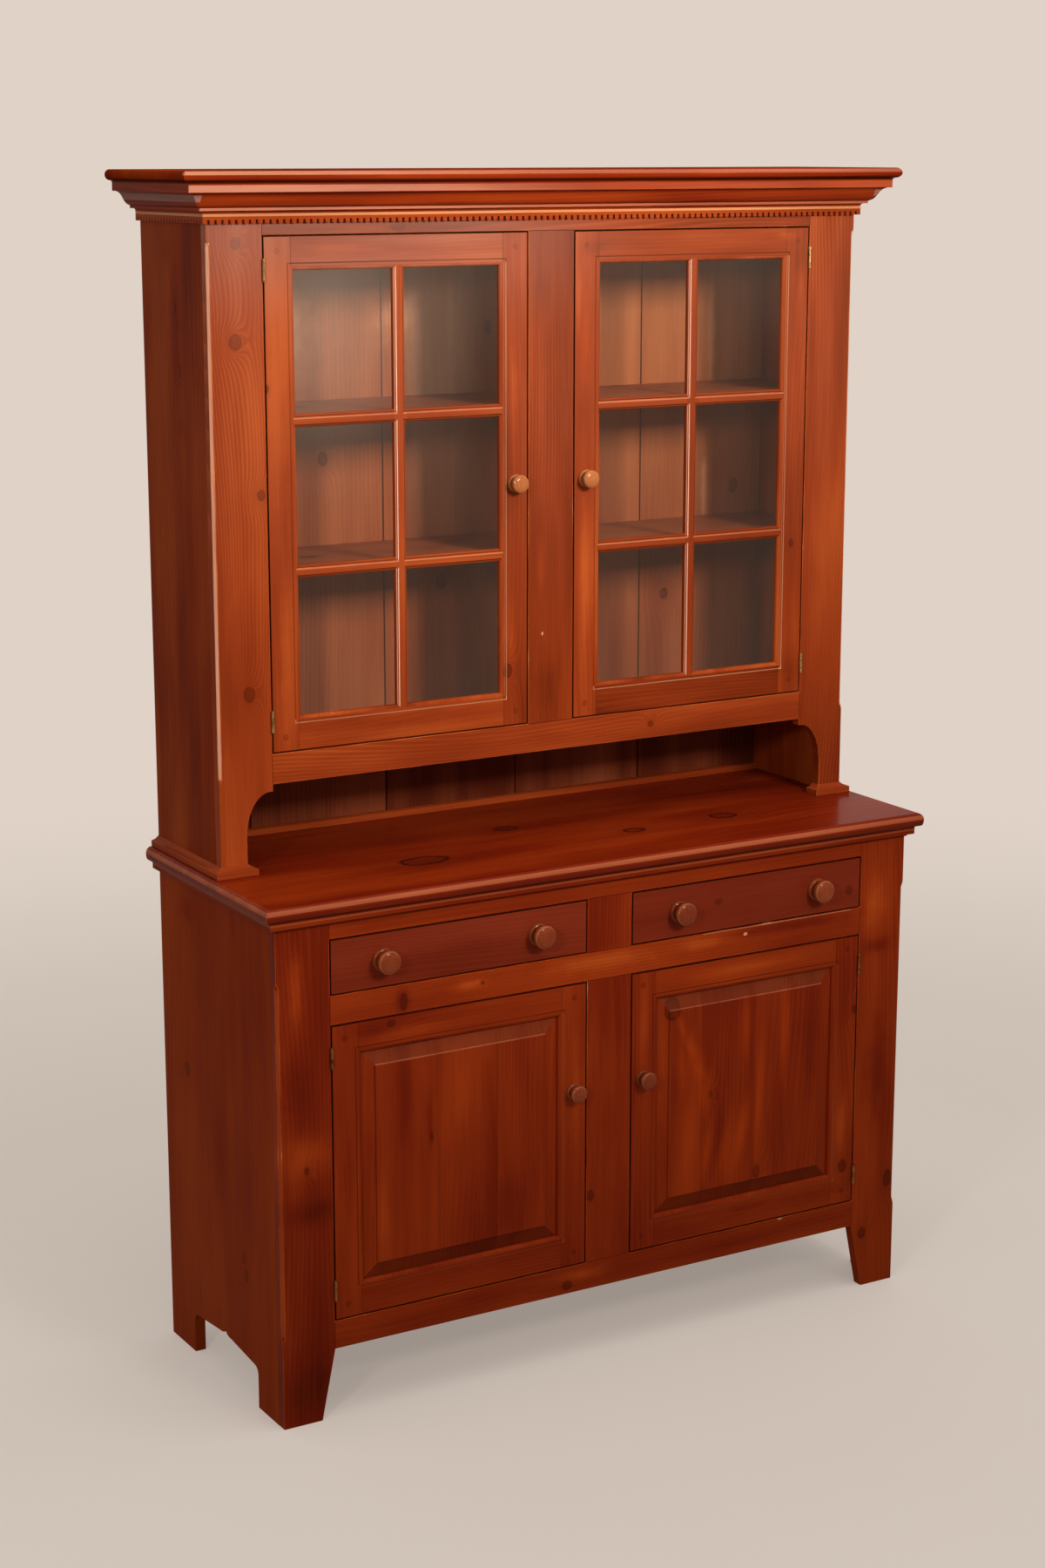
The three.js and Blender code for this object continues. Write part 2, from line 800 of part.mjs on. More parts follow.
// Section of a glazing bar, in (across, z).
function muntinSection() {
  const half = muntinFace / 2;
  const back = doorThick - glassSetback + jointGap;
  const right = stickPoints(muntinStick).map(([offset, z]) => [half + offset, z]);
  const left = right.map(([x, z]) => [-x, z]);
  return shapeFrom([
    [-half - muntinStick, back],
    [half + muntinStick, back],
    ...right.reverse(),
    [half, doorThick],
    [-half, doorThick],
    ...left,
  ]);
}

// One upright and two bars at thirds of the opening, coped to the frame all round.
function muntins() {
  const { x, y } = doorRing(glassDoorwayHeight, glassMembers, 0, 0);
  const section = muntinSection();
  const pane = (y[1] - y[0]) / panesHigh;
  let grille = frontPlate(section, y[1] - y[0]).translate(0, y[1], 0);
  for (let bar = 1; bar < panesHigh; bar++) {
    const across = sidePlate(section, x[1] - x[0]).translate(x[0], y[0] + bar * pane, 0);
    grille = join(grille, across);
  }
  return cut(grille, glassDoorFrame(copeGap));
}

function glassSheet() {
  const front = doorThick - glassSetback - jointGap;
  const edge = stickWidth - rebateWidth + jointGap;
  const ring = (z) => doorRing(glassDoorwayHeight, glassMembers, edge, z);
  return skinRectangles([ring(front - glassThick), ring(front)], false);
}

function panelDoorFrame() {
  const ring = (offset, z) => doorRing(panelDoorwayHeight, panelMembers, offset, z);
  const grooveFront = doorThick - panelSetback + jointGap;
  const grooveBack = grooveFront - tongueThick - 2 * jointGap;
  const grooveFloor = stickWidth - grooveReach;
  return skinRectangles(
    [
      doorRing(panelDoorwayHeight, noMembers, 0, 0),
      doorRing(panelDoorwayHeight, noMembers, 0, doorThick),
      ring(0, doorThick),
      ...stickPoints(stickWidth).map(([offset, z]) => ring(offset, z)),
      ring(stickWidth, grooveFront),
      ring(grooveFloor, grooveFront),
      ring(grooveFloor, grooveBack),
      ring(stickWidth, grooveBack),
      ring(stickWidth, 0),
    ],
    true,
  );
}

// A tongue all round, a bevel that rises from it and a flat field with a small step.
function raisedPanel() {
  const ring = (offset, z) => doorRing(panelDoorwayHeight, panelMembers, offset, z);
  const tongueFront = doorThick - panelSetback;
  const edge = stickWidth - tongueReach;
  const field = doorThick - fieldSetback;
  return skinRectangles(
    [
      ring(edge, tongueFront - tongueThick),
      ring(edge, tongueFront),
      ring(stickWidth, tongueFront),
      ring(fieldMargin, field - fieldStep),
      ring(fieldMargin, field),
    ],
    false,
  );
}

// A turned knob that stands on the face at Y zero and points to the front.
function knob(radius, length) {
  const profile = knobShares.map(
    ([radiusShare, lengthShare]) =>
      new THREE.Vector2(radius * radiusShare, length * lengthShare),
  );
  return new THREE.LatheGeometry(profile, knobSides)
    .rotateX(2 * quarterTurn)
    .translate(0, -jointGap, 0);
}

// Hinges. Each is built round its pin, with the door on the positive X side of it.

function upright(radius, bottom, top) {
  return new THREE.CylinderGeometry(radius, radius, top - bottom, barrelSides)
    .rotateX(quarterTurn)
    .translate(0, 0, (bottom + top) / 2);
}

// A leaf on one side of the pin, with every second knuckle of the barrel.
function hingeLeaf(side, firstKnuckle) {
  const outside = side * (doorGap / 2 - leafPlay);
  const x = [outside, outside - side * leafThick].sort((a, b) => a - b);
  const half = hingeHeight / 2;
  const pitch = hingeHeight / knuckles;
  let leaf = block(x, [barrelProud, barrelProud + leafReach], [-half, half]);
  for (let index = firstKnuckle; index < knuckles; index += 2) {
    const bottom = index * pitch - half + knuckleGap / 2;
    const top = (index + 1) * pitch - half - knuckleGap / 2;
    leaf = join(
      leaf,
      upright(barrelRadius, bottom, top),
      block(x, [0, barrelProud + leafThick], [bottom, top]),
    );
  }
  return leaf;
}

function frameLeaf() {
  const half = hingeHeight / 2 - knuckleGap;
  return join(hingeLeaf(-1, 0), upright(pinRadius, -half, half));
}

function doorLeaf() {
  const half = hingeHeight / 2 + cutOverrun;
  return cut(hingeLeaf(1, 1), upright(pinRadius + pinClearance, -half, half));
}

// Both hinges of one door. Side is -1 for a door hung on its left edge.
function addHinges(group, name, side, height) {
  const places = [
    ["bottom", hingeInset + hingeHeight / 2],
    ["top", height - hingeInset - hingeHeight / 2],
  ];
  const pinX = side * (doorwayWidth / 2 - doorGap / 2);
  for (const [place, z] of places) {
    const leaves = [["frame_leaf", frameLeaf()], ["door_leaf", doorLeaf()]];
    for (const [part, leaf] of leaves) {
      const geometry = side < 0 ? leaf : mirrored(leaf);
      const piece = addPiece(group, `${name}_hinge_${place}_${part}`, geometry, brass());
      piece.position.set(pinX, -barrelProud, z);
    }
  }
}

function buildGlassDoor(name, side) {
  const door = new THREE.Group();
  door.position.set(side * doorwayMiddle, -upperDepth, counterTop + glassDoorwayBottom);
  addPiece(door, `${name}_frame`, standUp(glassDoorFrame(0)), pineFront());
  addPiece(door, `${name}_muntins`, standUp(muntins()), pineFront());
  addPiece(door, `${name}_glass`, standUp(glassSheet()), glass());
  const knobPiece = knob(doorKnobRadius, doorKnobLength);
  const knobX = -side * (doorWidth - glassDoorStile) / 2;
  addPiece(door, `${name}_knob`, knobPiece, pineFront()).position.set(
    knobX,
    0,
    glassDoorwayHeight / 2,
  );
  addHinges(door, name, side, glassDoorwayHeight);
  return door;
}

function buildPanelDoor(name, side) {
  const door = new THREE.Group();
  door.position.set(side * doorwayMiddle, -baseDepth, panelDoorwayBottom);
  addPiece(door, `${name}_frame`, standUp(panelDoorFrame()), pineFront());
  addPiece(door, `${name}_panel`, standUp(raisedPanel()), pineFront());
  const knobPiece = knob(doorKnobRadius, doorKnobLength);
  const knobX = -side * (doorWidth - panelDoorStile) / 2;
  addPiece(door, `${name}_knob`, knobPiece, pineFront()).position.set(
    knobX,
    0,
    panelDoorwayHeight - panelDoorKnobDrop,
  );
  addHinges(door, name, side, panelDoorwayHeight);
  return door;
}

// Drawers

// Sides, back and bottom of a drawer, open on top and closed by its front.
function drawerBox() {
  const half = doorwayWidth / 2 - drawerPlay;
  const front = drawerFrontThick + jointGap;
  const z = [runnerGap, runnerGap + drawerBoxHeight];
  const outer = block([-half, half], [front, front + drawerBoxDepth], z);
  const inner = block(
    [drawerSideThick - half, half - drawerSideThick],
    [front - cutOverrun, front + drawerBoxDepth - drawerSideThick],
    [z[0] + drawerBottomThick, z[1] + cutOverrun],
  );
  return cut(outer, inner);
}

function buildDrawer(name, side) {
  const drawer = new THREE.Group();
  drawer.position.set(side * doorwayMiddle, -baseDepth, drawerFloor);
  const front = block(
    [-doorWidth / 2, doorWidth / 2],
    [0, drawerFrontThick],
    [doorGap, drawerOpeningHeight - doorGap],
  );
  addPiece(drawer, `${name}_front`, front, pineDrawer());
  addPiece(drawer, `${name}_box`, drawerBox(), rawPine());
  for (const [place, x] of [["left", -drawerKnobSpread], ["right", drawerKnobSpread]]) {
    const piece = addPiece(
      drawer,
      `${name}_knob_${place}`,
      knob(drawerKnobRadius, drawerKnobLength),
      pineDrawer(),
    );
    piece.position.set(x, 0, drawerOpeningHeight / 2);
  }
  return drawer;
}

function buildCupboard() {
  const cupboard = new THREE.Group();
  cupboard.position.y = footprintDepth / 2;
  cupboard.add(buildBase(), buildUpper());
  for (const [place, side] of [["left", -1], ["right", 1]]) {
    cupboard.add(
      buildGlassDoor(`upper_door_${place}`, side),
      buildPanelDoor(`lower_door_${place}`, side),
      buildDrawer(`drawer_${place}`, side),
    );
  }
  return cupboard;
}

export default buildCupboard();
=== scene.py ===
import math
import random

import bmesh
import bpy
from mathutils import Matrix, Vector


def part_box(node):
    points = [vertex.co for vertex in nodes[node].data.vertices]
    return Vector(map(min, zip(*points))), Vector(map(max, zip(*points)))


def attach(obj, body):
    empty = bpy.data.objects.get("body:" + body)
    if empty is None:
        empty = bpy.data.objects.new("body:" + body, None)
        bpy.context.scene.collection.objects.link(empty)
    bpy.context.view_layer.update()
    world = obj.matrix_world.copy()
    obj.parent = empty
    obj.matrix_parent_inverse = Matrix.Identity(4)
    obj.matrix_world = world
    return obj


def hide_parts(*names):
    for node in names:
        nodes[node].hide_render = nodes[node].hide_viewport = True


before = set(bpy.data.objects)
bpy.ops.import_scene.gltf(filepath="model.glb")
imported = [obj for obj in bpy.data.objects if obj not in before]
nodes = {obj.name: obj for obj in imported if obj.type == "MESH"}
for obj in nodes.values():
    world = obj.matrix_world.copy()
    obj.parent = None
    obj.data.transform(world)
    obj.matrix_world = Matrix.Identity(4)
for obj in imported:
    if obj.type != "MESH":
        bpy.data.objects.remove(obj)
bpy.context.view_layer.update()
print("frame loaded:", len(nodes), "pieces of joinery")


# Shader maths: a wire is a socket, and sums on wires add Math nodes.
class Wire:
    def __init__(self, graph, socket):
        self.graph = graph
        self.socket = socket

    def math(self, operation, *rest, first=None):
        row = (self, *rest) if first is None else (first, self)
        return self.graph.node("ShaderNodeMath", {"operation": operation}, dict(enumerate(row)))

    def __add__(self, other):
        return self.math("ADD", other)

    def __radd__(self, other):
        return self.math("ADD", first=other)

    def __sub__(self, other):
        return self.math("SUBTRACT", other)

    def __rsub__(self, other):
        return self.math("SUBTRACT", first=other)

    def __mul__(self, other):
        return self.math("MULTIPLY", other)

    def __rmul__(self, other):
        return self.math("MULTIPLY", first=other)

    def __abs__(self):
        return self.math("ABSOLUTE")

    def above(self, limit):
        return self.math("GREATER_THAN", limit)

    def below(self, limit):
        return self.math("LESS_THAN", limit)

    def rise(self, low, high):  # 0 under low, 1 over high, smooth between
        settings = {"interpolation_type": "SMOOTHSTEP"}
        return self.graph.node("ShaderNodeMapRange", settings, {0: self, 1: low, 2: high})

    def hump(self, start, full, fade, stop):  # 1 from full to fade, 0 outside start and stop
        return self.rise(start, full) * (1 - self.rise(fade, stop))

    def bell(self, fade=-1):  # 1 at nothing, and less with the square
        return (self * self * fade).math("EXPONENT")

    def sway(self, amount):  # a noise, as a change up and down
        return (self - 0.5) * amount


class Graph:
    def __init__(self, owner):
        owner.use_nodes = True
        self.owner = owner
        self.tree = owner.node_tree
        self.tree.nodes.clear()

    def node(self, kind, settings=None, values=None, output=0):
        made = self.tree.nodes.new(kind)
        for name, value in (settings or {}).items():
            if name == "stops":
                self.setStops(made.color_ramp, value)
            else:
                setattr(made, name, value)
        for key, value in (values or {}).items():
            if isinstance(value, Wire):
                self.tree.links.new(value.socket, made.inputs[key])
            else:
                made.inputs[key].default_value = value
        return Wire(self, made.outputs[output]) if made.outputs else None

    def setStops(self, ramp, stops):
        while len(ramp.elements) < len(stops):
            ramp.elements.new(1)
        for element, (place, colour) in zip(ramp.elements, stops):
            element.position = place
            element.color = colour

    def position(self):
        return self.node("ShaderNodeTexCoord", output="Object")

    def noise(self, vector, scale, seed, detail=2, roughness=0.5):
        vector = self.node("ShaderNodeVectorMath", {"operation": "MULTIPLY"}, {0: vector, 1: scale})
        values = {0: vector, 1: seed, 2: 1, 3: detail, 4: roughness}
        return self.node("ShaderNodeTexNoise", {"noise_dimensions": "4D"}, values)

    def mix(self, share, first, second):
        return self.node("ShaderNodeMix", {"data_type": "RGBA"}, {0: share, 6: first, 7: second}, 2)

    def blend(self, share, first, second):
        return self.node("ShaderNodeMixShader", values={0: share, 1: first, 2: second})

    def length(self, vector):
        return self.node("ShaderNodeVectorMath", {"operation": "LENGTH"}, {0: vector}, "Value")

    def ramp(self, stops, share):
        return self.node("ShaderNodeValToRGB", {"stops": stops}, {0: share})

    def bump(self, strength, distance, height):
        values = {"Strength": strength, "Distance": distance, "Height": height}
        return self.node("ShaderNodeBump", values=values)

    def surface(self, values):
        return self.finish(self.node("ShaderNodeBsdfPrincipled", values=values))

    def finish(self, shader):
        self.node("ShaderNodeOutputMaterial", values={0: shader})
        return self.owner


def startMaterial(name):
    g = Graph(bpy.data.materials.new(name))
    return g, g.position()


def tint(code):  # a screen colour as the linear one that the shaders take
    parts = [int(code[i : i + 2], 16) / 255 for i in (1, 3, 5)]
    linear = [((c + 0.055) / 1.055) ** 2.4 if c > 0.04045 else c / 12.92 for c in parts]
    return (*linear, 1.0)


def between(value, low, high):
    return value.above(low) * value.below(high)


# Stains, from the places where they took most to the ones where they took least
stainStops = {"deep": 0.1, "middle": 0.45, "bright": 0.72, "pale": 1}
stains = {
    "upper": ("#561a08", "#8b3413", "#ab4c1e", "#c4642e"),
    "lower": ("#430f04", "#74200a", "#983610", "#b5501c"),
    "side": ("#451104", "#7c2a0c", "#954016", "#ab5828"),
    "baseSide": ("#451004", "#7a250a", "#923910", "#a9522a"),
    "counter": ("#450d03", "#761e07", "#96330d", "#b55423"),
    "drawer": ("#461208", "#722512", "#83301a", "#9c4629"),
    "inside": ("#5a2313", "#90482b", "#ac6240", "#cb8c66"),
    "knob": ("#4c1809", "#7b3013", "#944520", "#b76c3e"),
    # a paler stain, for the upper doors' knobs
    "paleUpperKnob": ("#5f280f", "#8c4720", "#a65f34", "#c2824f"),
    "bare": ("#a67a48", "#c69a62", "#d8b27c", "#e6c795"),
}
sheenTint = (1.0, 0.5, 0.3, 1)

# Noises of the wood: scale across the board, through it and along it, then detail and roughness
woodNoise = {
    "wander": ((6.5, 6.5, 0.8), 1.5),
    "cloud": ((24, 24, 1.8), 3, 0.6),
    "patch": ((7, 7, 2.2), 2),
    "fibre": ((300, 300, 14), 2),
    "show": ((5, 5, 1.6), 1),
    "wobble": ((38, 38, 38), 2),
    "rub": ((9, 9, 9), 3, 0.6),
    "rubFibre": ((160, 160, 160), 2),
}
lineLook = {
    "shown": (0.42, 0.66),  # of the noise that says where the growth lines show
    "seedShift": 7.0,
    "least": 0.2,
    "late": (0.25, 0.9, 0.9, 1.0),  # the dark wood in a ring, sharp on its outer side
    "middle": 0.3,
    "fine": 4.7,  # fine lines to each ring
    "fineShare": 0.3,
}
knotLook = {
    "stained": ("#3a0e05", "#66200b"),
    "bare": ("#5d3415", "#94602f"),
    "sway": 0.8,
    "pull": -0.7,  # how the growth lines bend round it
    "bend": 9,
    "haloFade": -0.2,
    "halo": 0.45,
    "rings": 3.4,
    "ringEdge": (0.3, 0.9),
    "ringShare": 0.5,
    "inside": (0.8, 1.06),
    "edge": (0.72, 0.98, 0.98, 1.25),
    "dent": 0.8,
}
spotBlend = 0.4  # how far neighbouring spots run together
markSway = 0.9  # of the outlines of thin and dark places
pegLook = {
    "inset": 0.024,
    "radius": 0.0042,
    "inside": (0.8, 1.0),
    "fill": 0.3,
    "edge": (0.72, 0.95, 1.0, 1.25),
    "rim": 0.6,
}
nickLook = {"tone": "#d9a070", "share": 0.8, "sway": 1.2, "edge": (0.6, 1.1)}
jointTone = "#240a04"
washSway = 1.6
woodGloss = {"cloud": 0.3, "fibre": 0.12, "coat": 0.1, "bump": 0.6}

# Which of a point's x, y and z run across the board, through it and along its grain
grainWays = {
    "upright": (0, 1, 2),
    "level": (2, 1, 0),
    "sideUpright": (1, 0, 2),
    "sideLevel": (2, 0, 1),
    "flat": (1, 2, 0),
    "turned": (0, 2, 1),
}

pineDefaults = {
    "stain": "upper",
    "way": "upright",
    "parts": (),  # test, way of the grain, shift of the pattern, tone
    "seed": 1.0,
    "lines": 110.0,
    "wander": 16.0,
    "lineStrength": 0.06,
    "cloud": 0.42,
    "patch": 0.55,
    "fibre": 0.1,
    "tone": 0.0,
    "knots": (),
    "knotDepth": 0.55,
    "knotFill": 1.0,
    "glows": (),  # where the stain stayed thin and warm; a few are painted light and sheen
    "glowLift": 0.16,
    "shades": (),  # where it sank in; a few are painted shade
    "shadeDrop": -0.13,
    "pegs": (),
    "nicks": (),
    "joints": (),
    "jointDepth": 0.7,
    "washes": (),  # test, colour, share
    "gloss": 0.38,
    "coat": 0.03,
    "ior": 1.08,
    "bump": 0.0005,
}


def stainTones(stain):
    return {key: tint(code) for key, code in zip(stainStops, stains[stain])}


def nearest(g, position, spots):
    # distance to the nearest spot, in that spot's own radii along x, y and z
    found = None
    for centre, radii in spots:
        sizes = [1 / r if r else 0 for r in radii]
        shift = [-c * s for c, s in zip(centre, sizes)]
        settings = {"operation": "MULTIPLY_ADD"}
        local = g.node("ShaderNodeVectorMath", settings, {0: position, 1: sizes, 2: shift})
        length = g.length(local)
        found = length if found is None else found.math("SMOOTH_MIN", length, spotBlend)
    return found


def pattern(g, kind, vector, seed):
    scale, *detail = woodNoise[kind]
    return g.noise(vector, scale, seed, *detail)


def pine(name, **changes):
    look = {**pineDefaults, **changes}
    stain = stainTones(look["stain"])
    g, position = startMaterial(name)
    axes = [g.node("ShaderNodeSeparateXYZ", values={0: position}, output=i) for i in range(3)]

    def grainOf(way):
        places = {i: axes[k] for i, k in enumerate(grainWays[way])}
        return g.node("ShaderNodeCombineXYZ", values=places)

    grain = grainOf(look["way"])
    seed = look["seed"]
    tone = look["tone"] + 0.5
    for test, way, shift, lift in look["parts"]:
        mask = test(*axes)
        if way != look["way"]:
            settings = {"data_type": "VECTOR"}
            grain = g.node("ShaderNodeMix", settings, {0: mask, 4: grain, 5: grainOf(way)}, 1)
        seed = mask * shift + seed
        tone = mask * lift + tone

    across = g.node("ShaderNodeSeparateXYZ", values={0: grain})
    wander = pattern(g, "wander", grain, seed)
    cloud = pattern(g, "cloud", grain, seed)
    patch = pattern(g, "patch", grain, seed)
    fibre = pattern(g, "fibre", grain, seed)
    show = pattern(g, "show", grain, seed + lineLook["seedShift"]).rise(*lineLook["shown"])
    wobble = pattern(g, "wobble", position, look["seed"])
    phase = across * look["lines"] + wander * look["wander"]
    if look["knots"]:
        reach = nearest(g, position, look["knots"]) + wobble.sway(knotLook["sway"])
        phase = phase + (reach * knotLook["pull"]).math("EXPONENT") * knotLook["bend"]
    late = phase.math("FRACT").hump(*lineLook["late"])
    fine = (phase * lineLook["fine"]).math("FRACT")
    tone = cloud.sway(look["cloud"]) + patch.sway(look["patch"]) + tone
    strength = (show + lineLook["least"]) * look["lineStrength"]
    tone = tone + ((late - lineLook["middle"]) + fine.sway(lineLook["fineShare"])) * strength
    tone = tone + fibre.sway(look["fibre"])
    for spots, lift in ((look["glows"], look["glowLift"]), (look["shades"], look["shadeDrop"])):
        if spots:
            away = nearest(g, position, spots) + wobble.sway(markSway)
            tone = tone + away.bell() * lift
    colour = g.ramp([(place, stain[key]) for key, place in stainStops.items()], tone)
    height = fibre * 0.5 + late * 0.5

    if look["knots"]:
        depth = look["knotDepth"]
        core, rim = (tint(code) for code in knotLook["bare" if look["stain"] == "bare" else "stained"])
        halo = reach.bell(knotLook["haloFade"])
        colour = g.mix(halo * knotLook["halo"] * depth, colour, rim)
        rings = (reach * knotLook["rings"]).math("FRACT").rise(*knotLook["ringEdge"])
        heart = g.mix(rings * knotLook["ringShare"], core, rim)
        inside = 1 - reach.rise(*knotLook["inside"])
        edge = reach.hump(*knotLook["edge"])
        colour = g.mix(inside * depth * look["knotFill"], colour, heart)
        colour = g.mix(edge * depth, colour, core)
        height = height - edge * knotLook["dent"]
    if look["pegs"]:
        away = nearest(g, position, look["pegs"])
        ring = away.hump(*pegLook["edge"])
        colour = g.mix((1 - away.rise(*pegLook["inside"])) * pegLook["fill"], colour, stain["deep"])
        colour = g.mix(ring * pegLook["rim"], colour, stain["deep"])
        height = height - ring
    for test, code, share in look["washes"]:
        amount = test(*axes) * (cloud.sway(washSway) + 1) * share
        colour = g.mix(amount.math("MINIMUM", 1.0), colour, tint(code))
    if look["nicks"]:
        away = nearest(g, position, look["nicks"]) + wobble.sway(nickLook["sway"])
        nick = 1 - away.rise(*nickLook["edge"])
        colour = g.mix(nick * nickLook["share"], colour, tint(nickLook["tone"]))
        height = height - nick
    for axis, place, low, high, other, half in look["joints"]:
        offset = abs(axes[axis] - place)
        seam = (1 - offset.rise(half / 4, half)) * between(axes[other], low, high)
        colour = g.mix(seam * look["jointDepth"], colour, tint(jointTone))
        height = height - seam

    return g.surface({
        "Base Color": colour,
        "Roughness": look["gloss"] + cloud.sway(woodGloss["cloud"]) + fibre.sway(woodGloss["fibre"]),
        "Normal": g.bump(woodGloss["bump"], look["bump"], height),
        "IOR": look["ior"],
        "Specular Tint": sheenTint,
        "Coat Weight": look["coat"],
        "Coat Roughness": woodGloss["coat"],
    })


wornAndHighlitLook = {
    "stops": {"middle": 0.3, "bright": 0.46, "pale": 0.64},
    "bare": (0.8, "#dfa781"),
    "fibreShare": 0.25,
    "gloss": 0.34,
    "glossSway": 0.3,
    "bump": (0.4, 0.0003),
}


def wornAndHighlitEdge(name, stain, seed):
    # the rubbed corners of a piece, where the finish has gone thin; their pale colour is also a painted
    # highlight
    g, position = startMaterial(name)
    rub = pattern(g, "rub", position, seed)
    fibre = pattern(g, "rubFibre", position, seed)
    stops = [(place, stainTones(stain)[key]) for key, place in wornAndHighlitLook["stops"].items()]
    place, code = wornAndHighlitLook["bare"]
    colour = g.ramp([*stops, (place, tint(code))], rub + fibre.sway(wornAndHighlitLook["fibreShare"]))
    return g.surface({
        "Base Color": colour,
        "Roughness": wornAndHighlitLook["gloss"] + rub.sway(wornAndHighlitLook["glossSway"]),
        "Normal": g.bump(*wornAndHighlitLook["bump"], fibre),
        "IOR": pineDefaults["ior"],
        "Specular Tint": sheenTint,
    })


brassLooks = {
    "agedBrass": {"clean": "#c19a62", "tarnish": "#6f4c28", "roughness": 0.3},
    "dullBrass": {"clean": "#8a5a34", "tarnish": "#4a2812", "roughness": 0.42},
}
brassWear = {
    "stain": ((70, 70, 70), 3.0, 4, 0.65),
    "brush": ((900, 900, 60), 8.0, 2),
    "tarnished": (0.42, 0.66),
    "glossSway": 0.4,
    "bump": (0.3, 0.0001),
}


def brassMaterial(name):
    look = brassLooks[name]
    g, position = startMaterial(name)
    stain = g.noise(position, *brassWear["stain"])
    brush = g.noise(position, *brassWear["brush"])
    tarnished = stain.rise(*brassWear["tarnished"])
    return g.surface({
        "Base Color": g.mix(tarnished, tint(look["clean"]), tint(look["tarnish"])),
        "Metallic": 1.0,
        "Roughness": look["roughness"] + stain.sway(brassWear["glossSway"]),
        "Normal": g.bump(*brassWear["bump"], brush),
    })


# The pane's haze is an emission standing in for reflection, a painted reflection: a little everywhere,
# with smears, more towards the top of the panes, and a bloom in the upper left pane
glassLook = {
    "clear": (0.95, 0.94, 0.91, 1),
    "haze": (0.9, 0.68, 0.5, 1),
    "least": 0.036,
    "smear": ((7, 7, 3), 5.0, 3, 0.6),
    "smears": 0.03,
    "high": 0.03,
    "highFrom": (1.7, 1.96),
    "bloom": 0.16,
    "bloomAt": (-0.43, 1.84, 0.15, 0.18),
    "smooth": 0.02,
    "index": 1.42,
    "unseen": 0.04,  # share of the mirror that the haze stands in for
}


def glassMaterial():
    g, position = startMaterial("windowGlass")
    smear = g.noise(position, *glassLook["smear"])
    height = g.node("ShaderNodeSeparateXYZ", values={0: position}, output=2)
    bloom = nearest(g, position, front(glassLook["bloomAt"]))
    facingOut = 1 - g.node("ShaderNodeNewGeometry", output="Backfacing")
    through = g.node("ShaderNodeBsdfTransparent", values={0: glassLook["clear"]})
    shine = g.node("ShaderNodeBsdfGlossy", values={"Roughness": glassLook["smooth"]})
    # painted reflection, an emission in the haze colour
    paintedReflection = g.node("ShaderNodeEmission", values={0: glassLook["haze"]})
    facing = g.node("ShaderNodeFresnel", values={"IOR": glassLook["index"]})
    mirror = (facing - glassLook["unseen"]).math("MAXIMUM", 0) * facingOut
    pane = g.blend(mirror, through, shine)
    share = smear.sway(glassLook["smears"]) + height.rise(*glassLook["highFrom"]) * glassLook["high"]
    share = share + glassLook["least"] + bloom.bell() * glassLook["bloom"]
    haze = share.math("MAXIMUM", 0) * facingOut
    return g.finish(g.blend(haze, pane, paintedReflection))


# Finish of the shapes: welded, with eased corners and shading that is soft only on curves
def shadingGroup():
    group = bpy.data.node_groups.new("softShading", "GeometryNodeTree")
    for way in ("INPUT", "OUTPUT"):
        group.interface.new_socket("Geometry", in_out=way, socket_type="NodeSocketGeometry")
    entry = group.nodes.new("NodeGroupInput")
    smooth = group.nodes.new("GeometryNodeSetShadeSmooth")
    leave = group.nodes.new("NodeGroupOutput")
    group.links.new(entry.outputs[0], smooth.inputs["Geometry"])
    group.links.new(smooth.outputs[0], leave.inputs[0])
    return group


softShading = shadingGroup()
cornerLook = {"weld": 0.00001, "sharpest": math.radians(32), "flatWeight": 50}


def easeCorners(obj, width, segments, edgeSlot):
    weld = obj.modifiers.new("weld", "WELD")
    weld.merge_threshold = cornerLook["weld"]
    if width:
        bevel = obj.modifiers.new("easedCorners", "BEVEL")
        bevel.width = width
        bevel.segments = segments
        bevel.limit_method = "ANGLE"
        bevel.angle_limit = cornerLook["sharpest"]
        bevel.material = edgeSlot
    soft = obj.modifiers.new("softShading", "NODES")
    soft.node_group = softShading
    normals = obj.modifiers.new("flatFaces", "WEIGHTED_NORMAL")
    normals.weight = cornerLook["flatWeight"]


def dress(name, material, edge=None, width=0.0008, segments=2):
    obj = nodes[name]
    obj.data.materials.clear()
    obj.data.materials.append(material)
    if edge:
        obj.data.materials.append(edges[edge])
    easeCorners(obj, width, segments, 1 if edge else -1)


def dressWood(name, edge=None, width=0.0008, segments=2, **look):
    dress(name, pine(f"{name}_pine", **look), edge, width, segments)


# pale eased corners: wear, and a painted highlight
edges = {key: wornAndHighlitEdge(f"{key}Edge", key, 4.0 + i) for i, key in enumerate(stains)}
sides = (("left", -1), ("right", 1))
railX = 0.5515  # inner edge of the outer stiles
stileX = 0.046  # edge of the centre stile
baseFront = -0.2214
upperFront = -0.0164
caseHalf = 0.651
doorMiddle = 0.29875
hairline = 0.0009
chamferDepth = 0.0052
markDepth = 0.003  # how far in from a face its marks reach
baseRails = ((0.127, 0.178), (0.708, 0.7595), (0.858, 0.91))  # lower and upper edge of each
upperRails = ((1.082, 1.1345), (2.001, 2.087))
(_, bottomRailTop), (middleRailLow, middleRailTop), (topRailLow, _) = baseRails
(_, apronTop), (crownRailLow, _) = upperRails
# painted shade, for gaps, grooves, creases and the undersides of edges
paintedShadeTone = "#1d0803"
openingEdge = {"half": 0.2528, "start": -0.01, "stop": 0.0006}
leafEdge = {"half": 0.25055, "start": -0.0009, "stop": 0.01}  # of a door or a drawer front


